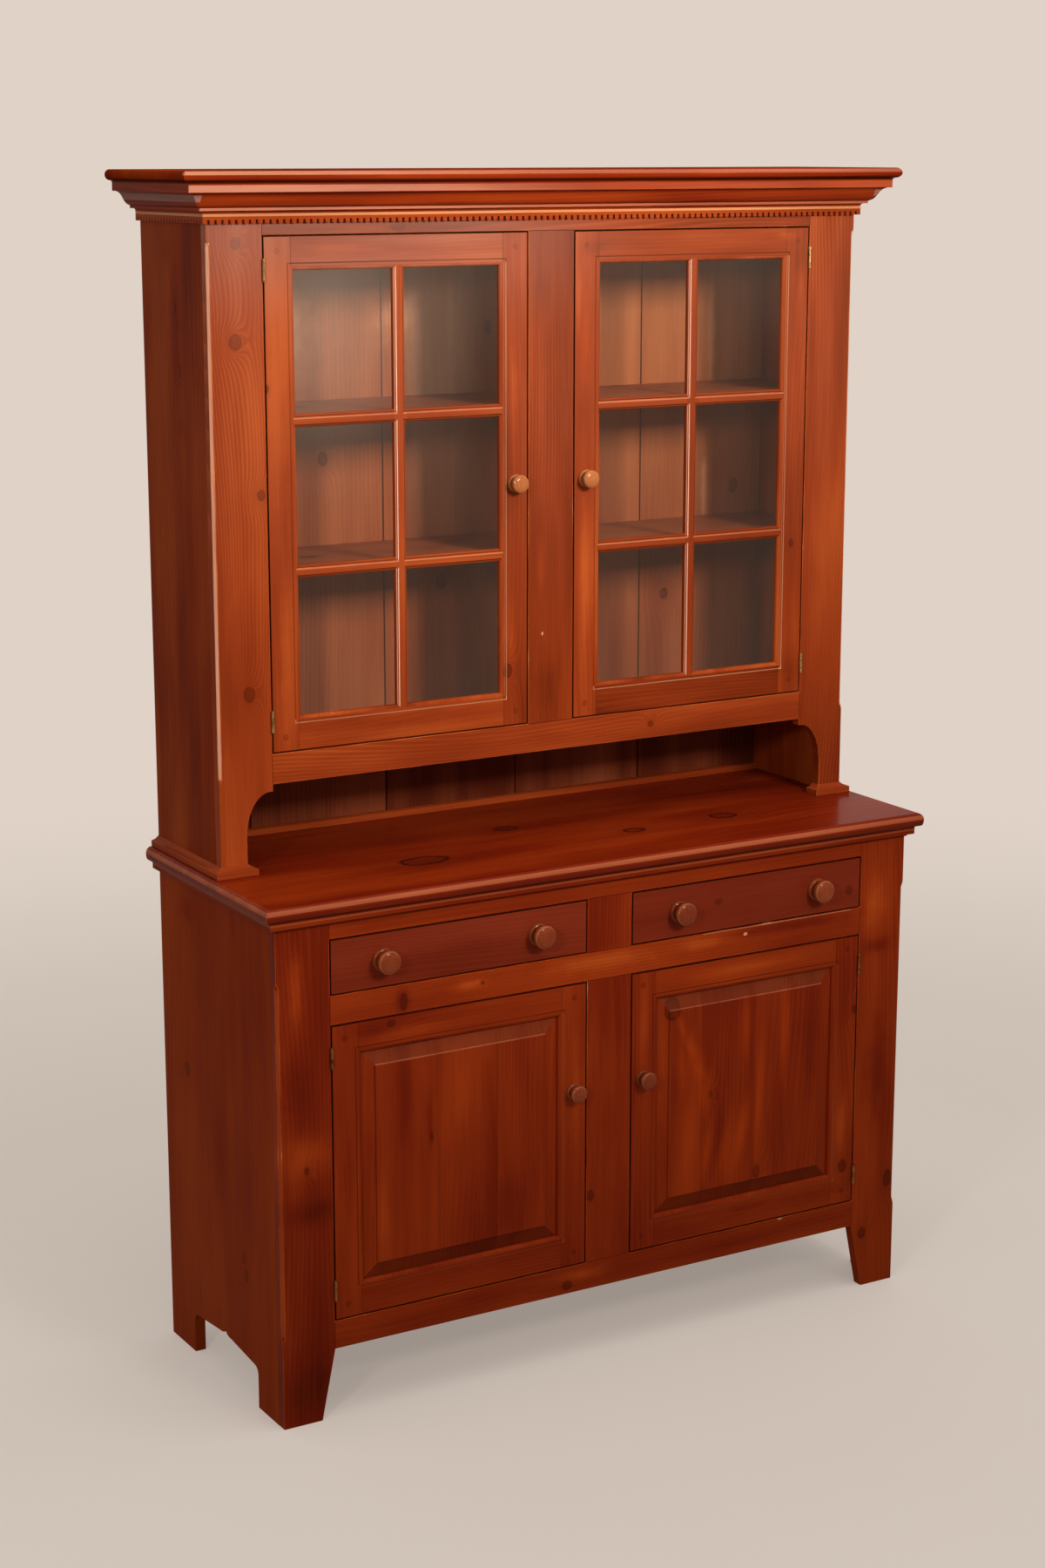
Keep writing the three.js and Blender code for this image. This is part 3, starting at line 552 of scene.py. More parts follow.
def scatter(seed, region):
    # knots strewn over a board, longer along the grain
    count, low, high, size, way = knotRegions[region]
    draw = random.Random(seed)
    spots = []
    for _ in range(count):
        centre = [draw.uniform(a, b) for a, b in zip(low, high)]
        radius = size * draw.uniform(0.6, 1.3)
        radii = [radius, radius, radius]
        radii[grainWays[way][1]] = 0
        radii[grainWays[way][2]] = radius * draw.uniform(1.2, 1.9)
        spots.append((centre, radii))
    return tuple(spots)


def front(*rows):
    # spots on a front face, each as x, z and its radii along them
    return tuple(((x, 0, z), (width, 0, height)) for x, z, width, height in rows)


def side(*rows):
    return tuple(((0, y, z), (0, width, height)) for y, z, width, height in rows)


def chamfer(face, low, high):
    # the flat that was planed off the two outer corners
    corner = face - caseHalf + chamferDepth
    return lambda x, y, z: (y - abs(x)).below(corner) * between(z, low, high)


def within(half, low, high):
    return lambda x, y, z: between(z, low, high) * between(x, -half, half)


def fromDoorMiddle(x):
    return abs(abs(x) - doorMiddle)


def streaks(face, *rows):  # x, z, radii and lean of each, on the front only
    def test(x, y, z):
        shown = None
        for place, level, wide, tall, lean in rows:
            rise = z - level
            across = (x - place - rise * lean) * (1 / wide)
            along = rise * (1 / tall)
            glow = ((across * across + along * along) * -1).math("EXPONENT")
            shown = glow if shown is None else shown.math("MAXIMUM", glow)
        return shown * y.below(face + markDepth)

    return test


def band(face, half, low, high, start, stop):
    # a band round a rectangle on the front, from start to stop outside its sides
    def test(x, y, z):
        wide = fromDoorMiddle(x) - half
        tall = abs(z - (low + high) / 2) - (high - low) / 2
        return between(wide.math("MAXIMUM", tall), start, stop) * y.below(face + markDepth)

    return test


# painted shade in the gap round an opening, a door or a drawer front
def paintedGapShade(face, edge, low, high):
    return (band(face, low=low, high=high, **edge), paintedShadeTone, 0.9)


def frameJoints(rails):
    # where the rails end at the outer stiles, and where the centre stile ends at the rails
    ends = [(0, place, low, high, 2, hairline) for low, high in rails for place in (-railX, railX)]
    levels = [level for rail in rails for level in rail][1:-1]
    return (*ends, *((2, level, -stileX, stileX, 0, hairline) for level in levels))


# Base: face frame, sides, boards
baseFrame = {
    "parts": (
        (within(railX, 0, bottomRailTop), "level", 5.3, 0.01),
        (lambda x, y, z: z.above(topRailLow) * between(x, -railX, railX), "level", 8.1, 0.06),
        (within(railX, middleRailLow, middleRailTop), "level", 11.7, 0.12),
        (within(stileX, bottomRailTop, middleRailLow), "upright", 3.9, -0.04),
        (within(stileX, middleRailTop, topRailLow), "upright", 1.7, 0.02),
        (lambda x, y, z: x.above(railX), "upright", 6.6, 0.11),
        (lambda x, y, z: x.below(-railX), "upright", 2.6, 0.0),
    ),
    "joints": frameJoints(baseRails),
    "knots": front(
        (-0.258, 0.738, 0.003, 0.003), (-0.412, 0.728, 0.006, 0.013), (-0.086, 0.143, 0.01, 0.008),
        (-0.037, 0.306, 0.006, 0.01), (0.634, 0.209, 0.009, 0.015), (0.577, 0.108, 0.008, 0.01),
        (-0.6, 0.46, 0.004, 0.006),
    ),
    "glowLift": 0.26,
    "shadeDrop": -0.2,
    "glows": front(
        (-0.268, 0.741, 0.01, 0.006), (-0.282, 0.738, 0.03, 0.009), (-0.018, 0.738, 0.11, 0.016),
        (0.2, 0.742, 0.06, 0.012), (-0.6, 0.485, 0.05, 0.034), (0.588, 0.765, 0.03, 0.05),
        (-0.06, 0.158, 0.05, 0.012), (-0.615, 0.78, 0.012, 0.06),
    ),
    # the shade low on the left stile, at z 0.06, is painted shade near the floor
    "shades": front(
        (-0.612, 0.6, 0.024, 0.07), (-0.59, 0.385, 0.05, 0.022), (0.59, 0.681, 0.034, 0.014),
        (-0.415, 0.734, 0.012, 0.022), (0.4, 0.748, 0.12, 0.01), (-0.6, 0.06, 0.05, 0.06),
        (0.6, 0.42, 0.03, 0.09),
    ),
    "nicks": front(
        (0.384, 0.176, 0.007, 0.002), (0.292, 0.746, 0.004, 0.003), (0.34, 0.7585, 0.02, 0.0012),
    ),
    "washes": (
        # painted highlight on the chamfer, with some wear
        (chamfer(baseFront, 0.17, 0.785), "#b45a30", 0.35),
        (  # a pale line along the rail's top edge, under the right drawer
            lambda x, y, z: between(z, 0.7572, 0.7598) * between(x, 0.2, 0.53) * y.below(-0.218),
            "#c88a62",
            0.5,
        ),
        paintedGapShade(baseFront, openingEdge, bottomRailTop, middleRailLow),
        paintedGapShade(baseFront, openingEdge, middleRailTop, topRailLow),
    ),
}
baseSide = {
    "stain": "baseSide",
    "way": "sideUpright",
    "ior": 1.05,
    "coat": 0.0,
    "knotDepth": 0.35,
    "tone": 0.1,
}
baseSideMarks = {
    "left": side((0.14, 0.838, 0.03, 0.02), (-0.057, 0.863, 0.016, 0.035), (0.02, 0.42, 0.035, 0.12)),
    "right": side((0.1, 0.62, 0.022, 0.03), (-0.08, 0.36, 0.018, 0.04), (0.05, 0.22, 0.04, 0.1)),
}
knotRegions = {  # count, the box they lie in, size and way of the grain
    "baseSide": (3, (0, -0.2, 0.15), (0, 0.25, 0.9), 0.009, "sideUpright"),
    "baseBoard": (7, (-0.6, -0.18, 0), (0.6, 0.23, 0), 0.01, "flat"),
    "baseBack": (16, (-0.62, 0, 0.15), (0.62, 0, 0.9), 0.011, "upright"),
    "deck": (9, (-0.6, -0.18, 0), (0.6, 0.23, 0), 0.01, "flat"),
    "upperSide": (2, (0, 0.03, 1.1), (0, 0.24, 1.9), 0.008, "sideUpright"),
    "shelf": (4, (-0.6, 0.03, 0), (0.6, 0.23, 0), 0.008, "flat"),
    "leftDrawer": (4, (-0.55, -0.2, 0), (-0.05, 0.19, 0), 0.008, "flat"),
    "rightDrawer": (4, (0.05, -0.2, 0), (0.55, 0.19, 0), 0.008, "flat"),
}


def dressBase():
    dressWood("base_face_frame", "lower", width=0.001, stain="lower", seed=2.1, **baseFrame)
    for name, sign in sides:
        knots = scatter(20 + sign, "baseSide")
        look = {"knots": knots, "shades": baseSideMarks[name], **baseSide}
        dressWood(f"base_side_{name}", "baseSide", width=0.001, seed=30.0 + sign, **look)
    for name, seed in (("base_bottom_board", 3), ("base_shelf", 5)):
        look = {"knots": scatter(seed, "baseBoard"), "ior": 1.15}
        dressWood(name, "inside", stain="inside", way="flat", seed=40.0 + seed, **look)
    look = {"knots": scatter(9, "baseBack"), "parts": backBoards, "joints": backSeams, "tone": -0.1}
    dressWood("base_back", width=0.0006, stain="inside", seed=50.0, ior=1.1, coat=0.0, **look)
    look = {"knots": scatter(11, "deck"), "coat": 0.0, "gloss": 0.62}
    dressWood("drawer_deck", width=0.0006, stain="bare", way="flat", seed=55.0, **look)


# Back boards: their seams show as dark lines
seamPlaces = (-0.4765, -0.2, 0.0765, 0.353)
backBoards = tuple(
    (lambda x, y, z, edge=edge: x.above(edge), "upright", 2.3, lift)
    for edge, lift in zip(seamPlaces, (0.08, -0.12, 0.1, -0.06))
)
backSeams = tuple((0, place, 0.1, 2.1, 2, 0.0024) for place in seamPlaces)


# Counter: one wide board with four dark knots, and the moulding under its edge
noseFrom = {"side": 0.671, "front": -0.241}
counterLook = {
    "stain": "counter",
    "way": "flat",
    "knots": (
        ((-0.297, -0.085, 0), (0.044, 0.024, 0)),
        ((-0.056, 0.046, 0), (0.022, 0.014, 0)),
        ((0.138, -0.083, 0), (0.02, 0.014, 0)),
        ((0.343, -0.07, 0), (0.025, 0.017, 0)),
    ),
    "shades": (
        ((-0.2, -0.1, 0), (0.15, 0.035, 0)),
        ((0.02, 0.03, 0), (0.12, 0.03, 0)),
        ((0.3, -0.03, 0), (0.1, 0.025, 0)),
    ),
    "knotDepth": 1.0,
    "knotFill": 0.45,
    "lines": 60.0,
    "wander": 14.0,
    "lineStrength": 0.05,
    "gloss": 0.3,
    "coat": 0.1,
}


def roundTheCase(face):
    # the returns along the two sides run front to back
    def beside(x, y, z):
        return (abs(x) - caseHalf).above(face - y)

    return (
        (beside, "sideLevel", 3.3, 0.0),
        (lambda x, y, z: beside(x, y, z) * x.above(0), "sideLevel", 4.4, 0.0),
    )


def dressCounter():
    def outer(x, y, z):
        beside = (abs(x) - noseFrom["side"]).above(0)
        return beside.math("MAXIMUM", y.below(noseFrom["front"]))

    # painted highlight on the upper half of the nose, painted shade on its lower half, under it and
    # along the top's front edge
    noseHighlightAndShade = (
        (lambda x, y, z: outer(x, y, z) * between(z, 0.9185, 0.9262), "#cc7a50", 0.36),
        (lambda x, y, z: outer(x, y, z) * z.below(0.9155), paintedShadeTone, 0.3),
        (lambda x, y, z: outer(x, y, z) * z.below(0.9085), paintedShadeTone, 0.6),
        (lambda x, y, z: between(y, -0.2405, -0.235) * z.above(0.929), paintedShadeTone, 0.2),
    )
    dressWood("counter_board", "lower", seed=60.0, washes=noseHighlightAndShade, **counterLook)
    # painted shade under the nose and in a groove, and a painted highlight on the rounded part
    lines = (
        (lambda x, y, z: z.above(0.9035), paintedShadeTone, 0.8),
        (lambda x, y, z: between(z, 0.8885, 0.8905), paintedShadeTone, 0.6),
        (lambda x, y, z: between(z, 0.8965, 0.9), "#c06a3c", 0.3),
    )
    look = {"stain": "lower", "way": "level", "parts": roundTheCase(baseFront), "washes": lines}
    dressWood("counter_moulding", "lower", segments=1, seed=62.0, **look)


# Upper case, with a painted sheen towards its top and a greyer painted sheen at its top left
# painted sheen, paler towards the top; the next is a greyer painted sheen at the top left corner
paintedSheenTop = (lambda x, y, z: z.rise(1.15, 2.0), "#b07a5c", 0.1)
paintedSheenCorner = (lambda x, y, z: z.rise(1.8, 2.06) * (1 - x.rise(-0.25, 0.25)), "#97766a", 0.37)
upperFrame = {
    "parts": (
        (lambda x, y, z: z.above(crownRailLow) * between(x, -railX, railX), "level", 5.1, -0.18),
        (within(railX, 0, apronTop), "level", 9.4, -0.03),
        (within(stileX, apronTop, crownRailLow), "upright", 2.7, -0.22),
        (lambda x, y, z: x.above(railX), "upright", 7.7, -0.06),
    ),
    "joints": frameJoints(upperRails),
    "knots": front(
        (-0.599, 1.989, 0.008, 0.009), (-0.603, 1.83, 0.01, 0.012), (-0.562, 1.576, 0.007, 0.008),
        (-0.592, 1.241, 0.01, 0.012), (-0.3, 2.011, 0.013, 0.006), (0.215, 1.108, 0.006, 0.005),
    ),
    # the first glow, at the right end of the top rail, is a painted highlight
    "glows": front((0.503, 2.01, 0.045, 0.008), (-0.36, 2.008, 0.05, 0.006), (-0.02, 1.42, 0.008, 0.05)),
    "shades": front((-0.023, 1.904, 0.018, 0.05), (-0.01, 1.2, 0.03, 0.06), (0.0, 1.66, 0.02, 0.08)),
    "nicks": front((-0.017, 1.296, 0.0025, 0.004),),
    "washes": (
        paintedSheenTop,
        paintedSheenCorner,
        # painted highlight on the chamfer, with some wear
        (chamfer(upperFront, 1.1, 1.99), "#eab092", 0.8),
        paintedGapShade(upperFront, openingEdge, apronTop, crownRailLow),
    ),
    "cloud": 0.5,
    "patch": 0.75,
    "lines": 150.0,
    "wander": 24.0,
    "lineStrength": 0.15,
    "knotDepth": 0.45,
}
upperSideMarks = {
    "left": side((0.108, 1.684, 0.016, 0.026), (0.148, 1.974, 0.016, 0.024), (0.113, 1.82, 0.013, 0.16)),
    "right": side((0.15, 1.44, 0.016, 0.024), (0.09, 1.8, 0.013, 0.15), (0.19, 1.15, 0.015, 0.03)),
}
upperSide = {
    "stain": "side",
    "way": "sideUpright",
    "ior": 1.06,
    "coat": 0.0,
    "tone": 0.05,
    "cloud": 0.6,
    "patch": 0.9,
    "knotDepth": 0.35,
}


def onFront(test):  # only on the side of the back boards that shows through the glass
    return lambda x, y, z: test(x, y, z) * y.below(0.242)


# two streaks in the boards, then painted light on the boards at the upper left
backStreaksAndPaintedLight = (  # x, z and radii along them
    (0.513, 1.79, 0.009, 0.11),
    (0.5, 1.5, 0.009, 0.08),
    (-0.16, 1.85, 0.05, 0.05),
    (-0.42, 1.86, 0.1, 0.12),
)
upperBack = {
    "knots": front(
        (0.448, 1.935, 0.012, 0.018), (0.41, 1.3, 0.008, 0.01), (-0.32, 1.6, 0.009, 0.012),
        (-0.08, 1.36, 0.01, 0.013), (0.2, 1.56, 0.009, 0.012), (-0.52, 1.24, 0.01, 0.014),
        (0.02, 1.82, 0.008, 0.011), (0.57, 1.5, 0.009, 0.013),
    ),
    "parts": (  # painted shade on the back, under the case's floor
        *backBoards,
        (lambda x, y, z: z.below(1.1) * y.below(0.252), "upright", 0.0, -0.34),
    ),
    "joints": backSeams,
    "jointDepth": 0.9,
    "glows": tuple(((x, 0.24, z), (width, 0.006, height)) for x, z, width, height in backStreaksAndPaintedLight),
    "glowLift": 0.55,
    "washes": (
        # painted light falling on the back boards behind the panes
        (onFront(lambda x, y, z: x.hump(-0.17, -0.12, -0.04, 0.02) * z.rise(1.3, 1.9)), "#e2b294", 0.5),
        (onFront(lambda x, y, z: x.rise(0.1, 0.2) * z.rise(1.3, 1.85)), "#dc8c58", 0.34),
    ),
    "ior": 1.1,
    "coat": 0.0,
}


def dressUpperCase():
    dressWood("upper_face_frame", "upper", width=0.001, seed=3.4, **upperFrame)
    for name, sign in sides:
        knots = scatter(30 + sign, "upperSide")
        look = {"knots": knots, "shades": upperSideMarks[name], **upperSide}
        dressWood(f"upper_side_{name}", "side", width=0.001, seed=70.0 + sign, **look)
    for i, name in enumerate(("upper_floor_board", "upper_shelf_lower", "upper_shelf_upper")):
        look = {"knots": scatter(80 + i, "shelf"), "ior": 1.2}
        dressWood(name, "inside", stain="inside", way="flat", seed=80.0 + i, **look)
    dressWood("upper_back", width=0.0006, stain="inside", seed=88.0, **upperBack)
    dressWood("back_ledger", "upper", way="level", seed=91.0)


def fading(x, least):  # the crown's light, which comes from the left
    return (1 - x.rise(-0.55, 0.15)) * (1 - least) + least


def dressCrown():
    parts = roundTheCase(upperFront)
    lines = (  # painted highlights on the edges, painted shade in the grooves, and a painted sheen on the ogee of the returns
        (lambda x, y, z: between(z, 2.0405, 2.0452) * fading(x, 0.4) * y.below(-0.033), "#e09a7a", 0.5),
        (lambda x, y, z: between(z, 2.0705, 2.0815) * fading(x, 0.1) * y.below(-0.064), "#dd9c80", 0.56),
        (lambda x, y, z: between(z, 2.0685, 2.07), paintedShadeTone, 0.6),
        (lambda x, y, z: between(z, 2.0453, 2.0475), paintedShadeTone, 0.5),
        (lambda x, y, z: z.above(2.0835), paintedShadeTone, 0.7),
        (lambda x, y, z: between(z, 2.055, 2.066) * (abs(x) - 0.672).above(0), "#a58b80", 0.45),
    )
    look = {"stain": "lower", "way": "level", "parts": parts, "cloud": 0.8, "tone": 0.08}
    dressWood("crown_moulding", "lower", seed=101.0, washes=lines, **look)
    # painted highlight along the top of the dentil strip
    lit = (lambda x, y, z: between(z, 2.0315, 2.0358), "#e8a870", 0.5)
    look = {"way": "level", "parts": parts, "washes": (lit,)}
    dressWood("dentil_moulding", "upper", width=0.0003, segments=1, seed=103.0, **look)
    # painted highlight on the top board's nose, and painted shade under it
    noseHighlightAndShade = (
        (lambda x, y, z: between(z, 2.0975, 2.1035) * fading(x, 0.4) * y.below(-0.07), "#d99a76", 0.5),
        (lambda x, y, z: z.below(2.0905), paintedShadeTone, 0.5),
    )
    look = {"stain": "lower", "way": "flat", "tone": 0.02, "gloss": 0.75, "coat": 0.0, "ior": 1.03}
    dressWood("top_board", "upper", width=0.0006, seed=105.0, washes=noseHighlightAndShade, **look)
    look = {"way": "level", "parts": parts}
    for name, sign in sides:
        dressWood(f"foot_moulding_{name}", "upper", width=0.0005, segments=1, seed=107.0 + sign, **look)


# Doors
glassDoor = {
    "face": upperFront, "inner": 0.097, "outer": 0.5005,
    "low": 1.19, "high": 1.949, "bottom": 1.1367, "top": 1.9988,
}
panelDoor = {
    "face": baseFront, "inner": 0.0982, "outer": 0.4993,
    "low": 0.2346, "high": 0.6564, "bottom": 0.1802, "top": 0.7058,
}
doorEdges = (0.0482, 0.5493)  # nearest to and farthest from the cupboard's middle
quirk = (0.0048, 0.0068)  # the groove round the opening in a door's frame
memberTones = {  # top rail, bottom rail, hinge stile, closing stile
    "upper_door_left": (-0.08, -0.05, 0.07, -0.16),
    "upper_door_right": (-0.17, -0.22, -0.17, 0.0),
    "lower_door_left": (0.03, -0.02, 0.0, 0.0),
    "lower_door_right": (0.0, -0.02, 0.0, 0.0),
}
doorMarks = {
    "upper_door_left": {
        "knots": front((-0.088, 1.235, 0.008, 0.012), (-0.5475, 1.751, 0.003, 0.006)),
        "glows": front(
            (-0.076, 1.7, 0.008, 0.12), (-0.082, 1.3, 0.008, 0.06), (-0.42, 1.975, 0.07, 0.01),
            (-0.53, 1.7, 0.02, 0.22), (-0.52, 1.3, 0.014, 0.12),
        ),
        "shades": front((-0.3, 1.165, 0.12, 0.012),),
    },
    "upper_door_right": {
        "knots": front((0.524, 1.42, 0.005, 0.007)),
        # the glows at (0.5, 1.985) and (0.535, 1.9) are painted sheen near the top right
        "glows": front(
            (0.057, 1.88, 0.005, 0.05), (0.07, 1.8, 0.01, 0.1), (0.07, 1.36, 0.008, 0.16),
            (0.5, 1.985, 0.02, 0.008), (0.535, 1.9, 0.004, 0.04),
        ),
        "shades": front(
            (0.529, 1.94, 0.014, 0.03), (0.525, 1.18, 0.02, 0.03), (0.09, 1.97, 0.03, 0.012)
        ),
    },
    "lower_door_left": {
        "knots": front((-0.437, 0.694, 0.008, 0.006)),
        "glows": front((-0.4, 0.675, 0.07, 0.01), (-0.07, 0.5, 0.01, 0.12)),
        "shades": front((-0.47, 0.69, 0.03, 0.012), (-0.52, 0.42, 0.014, 0.1)),
    },
    "lower_door_right": {
        "knots": front((0.545, 0.563, 0.005, 0.008), (0.526, 0.254, 0.009, 0.012)),
        "glows": front((0.3, 0.682, 0.12, 0.01), (0.075, 0.6, 0.01, 0.08), (0.52, 0.34, 0.012, 0.05)),
        "shades": front((0.45, 0.21, 0.08, 0.012), (0.3, 0.215, 0.06, 0.008)),
    },
}
panelFront = -0.2199  # of the raised fields
panelMarks = {
    "left": {
        "glowLift": 0.12,
        "knots": front((-0.359, 0.476, 0.003, 0.007)),
        "glows": front((-0.456, 0.344, 0.01, 0.06), (-0.3, 0.56, 0.02, 0.08)),
        "shades": front(
            (-0.362, 0.5, 0.006, 0.05), (-0.199, 0.324, 0.032, 0.07), (-0.41, 0.58, 0.012, 0.1)
        ),
    },
    "right": {
        "glowLift": 0.1,
        "streaks": (
            (0.156, 0.59, 0.008, 0.026, -0.4), (0.178, 0.545, 0.012, 0.034, -0.6),
            (0.196, 0.5, 0.014, 0.036, -0.4), (0.206, 0.455, 0.013, 0.04, -0.1),
            (0.158, 0.51, 0.014, 0.06, -0.1), (0.29, 0.36, 0.012, 0.07, 0.25),
            (0.252, 0.33, 0.012, 0.06, 0.2), (0.3, 0.57, 0.008, 0.06, 0.0),
            (0.385, 0.54, 0.008, 0.09, 0.0), (0.33, 0.42, 0.009, 0.12, 0.05),
            (0.175, 0.36, 0.016, 0.09, 0.0), (0.215, 0.34, 0.01, 0.05, 0.15),
        ),
        "knots": front(
            (0.137, 0.626, 0.015, 0.02), (0.222, 0.451, 0.004, 0.006), (0.327, 0.282, 0.007, 0.012)
        ),
        "glows": front(
            (0.158, 0.585, 0.006, 0.03), (0.178, 0.55, 0.006, 0.03), (0.202, 0.505, 0.007, 0.032),
            (0.22, 0.47, 0.007, 0.03), (0.124, 0.5, 0.012, 0.1), (0.285, 0.345, 0.014, 0.06),
            (0.262, 0.315, 0.008, 0.04), (0.394, 0.56, 0.004, 0.05), (0.33, 0.4, 0.008, 0.12),
        ),
        "shades": front((0.15, 0.5, 0.014, 0.07), (0.245, 0.36, 0.012, 0.08), (0.44, 0.5, 0.02, 0.1)),
    },
}


def doorLook(door, sign, d):
    # rails lie between the stiles, which run the door's whole height
    inner, outer = d["inner"], d["outer"]
    top, bottom, hinged, closing = memberTones[door]

    def rail(x):
        return between(abs(x), inner, outer)

    parts = (
        (lambda x, y, z: rail(x) * z.above(d["high"]), "level", 4.4, top),
        (lambda x, y, z: rail(x) * z.below(d["low"]), "level", 9.1, bottom),
        (lambda x, y, z: abs(x).above(outer), "upright", 6.2, hinged),
        (lambda x, y, z: abs(x).below(inner), "upright", 0.0, closing),
    )
    joints = tuple(
        (0, sign * place, low, high, 2, hairline)
        for place in (inner, outer)
        for low, high in ((d["bottom"], d["low"]), (d["high"], d["top"]))
    )
    inset, radius = pegLook["inset"], pegLook["radius"]
    pegs = [
        (sign * x, z, radius, radius)
        for x in (doorEdges[0] + inset, doorEdges[1] - inset)
        for z in (d["bottom"] + inset, d["top"] - inset)
    ]
    return {"parts": parts, "joints": joints, "pegs": front(*pegs), "jointDepth": 0.4}


def doorLines(sign, d, code, share):
    # painted shade in the gap round the door and in the quirk, and painted highlights on the moulded
    # edge, right of the opening and under it
    left, right = sorted((sign * d["inner"], sign * d["outer"]))
    low, high = d["low"], d["high"]
    groove = band(d["face"], (right - left) / 2, low, high, *quirk)

    def paintedHighlight(x, y, z):
        return between(x, right + 0.001, right + 0.0024) * between(z, low, high)

    return (
        paintedGapShade(d["face"], leafEdge, d["bottom"], d["top"]),
        (groove, paintedShadeTone, 0.5),
        (lambda x, y, z: groove(x, y, z) * x.above(right) * z.below(high), code, share),
        (lambda x, y, z: groove(x, y, z) * z.below(low), code, share),
        (paintedHighlight, code, share * 0.6),
    )


muntins = {
    "half": 0.012,  # wide enough to hold the upright bar
    "nicks": ((0.4985, 1.29, 0.0015, 0.012), (0.4985, 1.262, 0.0015, 0.008)),
    "flat": 0.0055,  # half of a level bar's flat
    "clear": 0.0056,  # half of the upright bar's flat
    "lowMiddle": 1.443,
    "pitch": 0.253,
    "between": 1.5695,  # halfway from one level bar to the other
}


def barHeight(z):  # over the middle of the nearest level bar
    return z - z.above(muntins["between"]) * muntins["pitch"] - muntins["lowMiddle"]


def dressGlassDoor(name, sign):
    door = f"upper_door_{name}"
    d = glassDoor
    look = {**doorLook(door, sign, d), **doorMarks[door], "cloud": 0.6, "patch": 1.0}
    # painted sheen from the upper case, and painted shade and highlights round the opening
    look["washes"] = (paintedSheenTop, paintedSheenCorner, *doorLines(sign, d, "#e09c72", 0.4))
    dressWood(f"{door}_frame", width=0.0005, segments=1, seed=120.0 + sign * 3, **look)
    middle = sign * doorMiddle

    def upright(x, y, z):
        return abs(x - middle).below(muntins["half"])

    def onUpright(low, high):  # beside the level bars' flat
        return lambda x, y, z: between(x - middle, low, high) * abs(barHeight(z)).above(muntins["flat"])

    def onLevel(low, high):  # beside the upright bar's flat
        return lambda x, y, z: between(barHeight(z), low, high) * abs(x - middle).above(muntins["clear"])

    # painted highlights on the left-facing bead of the upright bar and on the crest of the level bars,
    # and painted shade beside them
    lines = (
        (onUpright(-0.0068, -0.0054), "#ffe4cc", 0.72),
        (onUpright(-0.0097, -0.0085), "#f0b898", 0.45),
        (onUpright(0.0058, 0.0082), paintedShadeTone, 0.35),
        (onLevel(0.0062, 0.0086), paintedShadeTone, 0.5),
        (onLevel(-0.008, -0.0058), paintedShadeTone, 0.6),
        (onLevel(0.003, 0.005), "#e8a67e", 0.3),
    )
    look = {"way": "level", "parts": ((upright, "upright", 3.1, 0.0),), "washes": (paintedSheenTop, *lines)}
    if sign > 0:
        look.update({"nicks": front(*muntins["nicks"]), "tone": -0.1})
    dressWood(f"{door}_muntins", "upper", width=0.0003, segments=1, seed=130.0 + sign, **look)
    dress(f"{door}_glass", glassPane, width=0)


panelField = {"half": 0.16855, "low": 0.2656, "high": 0.625, "bevelBack": -0.208}
panelEdge = {"side": 0.1965, "high": 0.6505}  # where the frame's shadow starts
panelBoards = {  # edge of each glued board, shift of its pattern, tone
    "left": ((-0.347, 2.2, -0.05), (-0.229, 3.1, 0.06)),
    "right": ((0.2, 2.7, -0.03), (0.32, 3.5, 0.05)),
}


def fieldSide(x):
    return fromDoorMiddle(x) - panelField["half"]


def topBevel(x, y, z):
    above = (z - fieldSide(x).math("MAXIMUM", 0)).above(panelField["high"])
    return above * y.below(panelField["bevelBack"])


def bottomBevel(x, y, z):
    below = (z + fieldSide(x).math("MAXIMUM", 0)).below(panelField["low"])
    return below * y.below(panelField["bevelBack"])


# painted sheen on the top bevel, painted shade on the bottom one, a painted highlight along the field's
# top edge, and painted shade beside the field and where the frame's shadow falls
bevelLightAndShade = (
    (topBevel, "#784028", 0.36),
    (bottomBevel, "#260b04", 0.5),
    (lambda x, y, z: between(z, 0.6232, panelField["high"]) * fieldSide(x).below(0), "#b4684a", 0.5),
    (lambda x, y, z: between(fieldSide(x), -0.0006, 0.0012) * between(z, 0.2666, 0.6244), paintedShadeTone, 0.3),
    (lambda x, y, z: z.above(panelEdge["high"]), paintedShadeTone, 0.5),
    (lambda x, y, z: fromDoorMiddle(x).above(panelEdge["side"]), paintedShadeTone, 0.5),
)


def dressPanelDoor(name, sign):
    door = f"lower_door_{name}"
    d = panelDoor
    look = {**doorLook(door, sign, d), **doorMarks[door], "stain": "lower", "tone": 0.04}
    # painted shade and painted highlights round the panel's opening
    look["washes"] = doorLines(sign, d, "#c8683c", 0.2)
    dressWood(f"{door}_frame", width=0.0005, segments=1, seed=140.0 + sign * 3, **look)
    glued = panelBoards[name]
    look = dict(panelMarks[name])
    flames = look.pop("streaks", ())
    look["washes"] = ((streaks(panelFront, *flames), "#ac3c0c", 0.5), *bevelLightAndShade) if flames else bevelLightAndShade
    look["parts"] = tuple(
        (lambda x, y, z, p=place: x.above(p), "upright", shift, lift) for place, shift, lift in glued
    )
    if sign < 0:
        look["joints"] = tuple((0, place, 0.25, 0.64, 2, hairline) for place, _, _ in glued)
    look.update({"stain": "lower", "jointDepth": 0.4, "tone": 0.07})
    dressWood(f"{door}_panel", width=0.0004, segments=1, seed=150.0 + sign * 3, **look)


drawerMarks = {
    "left": {"tone": 0.07, "shades": front((-0.3, 0.81, 0.1, 0.02))},
    "right": {"knots": front((0.232, 0.815, 0.007, 0.005), (0.525, 0.796, 0.007, 0.009))},
}
drawerFront = {"low": 0.7617, "high": 0.8558}


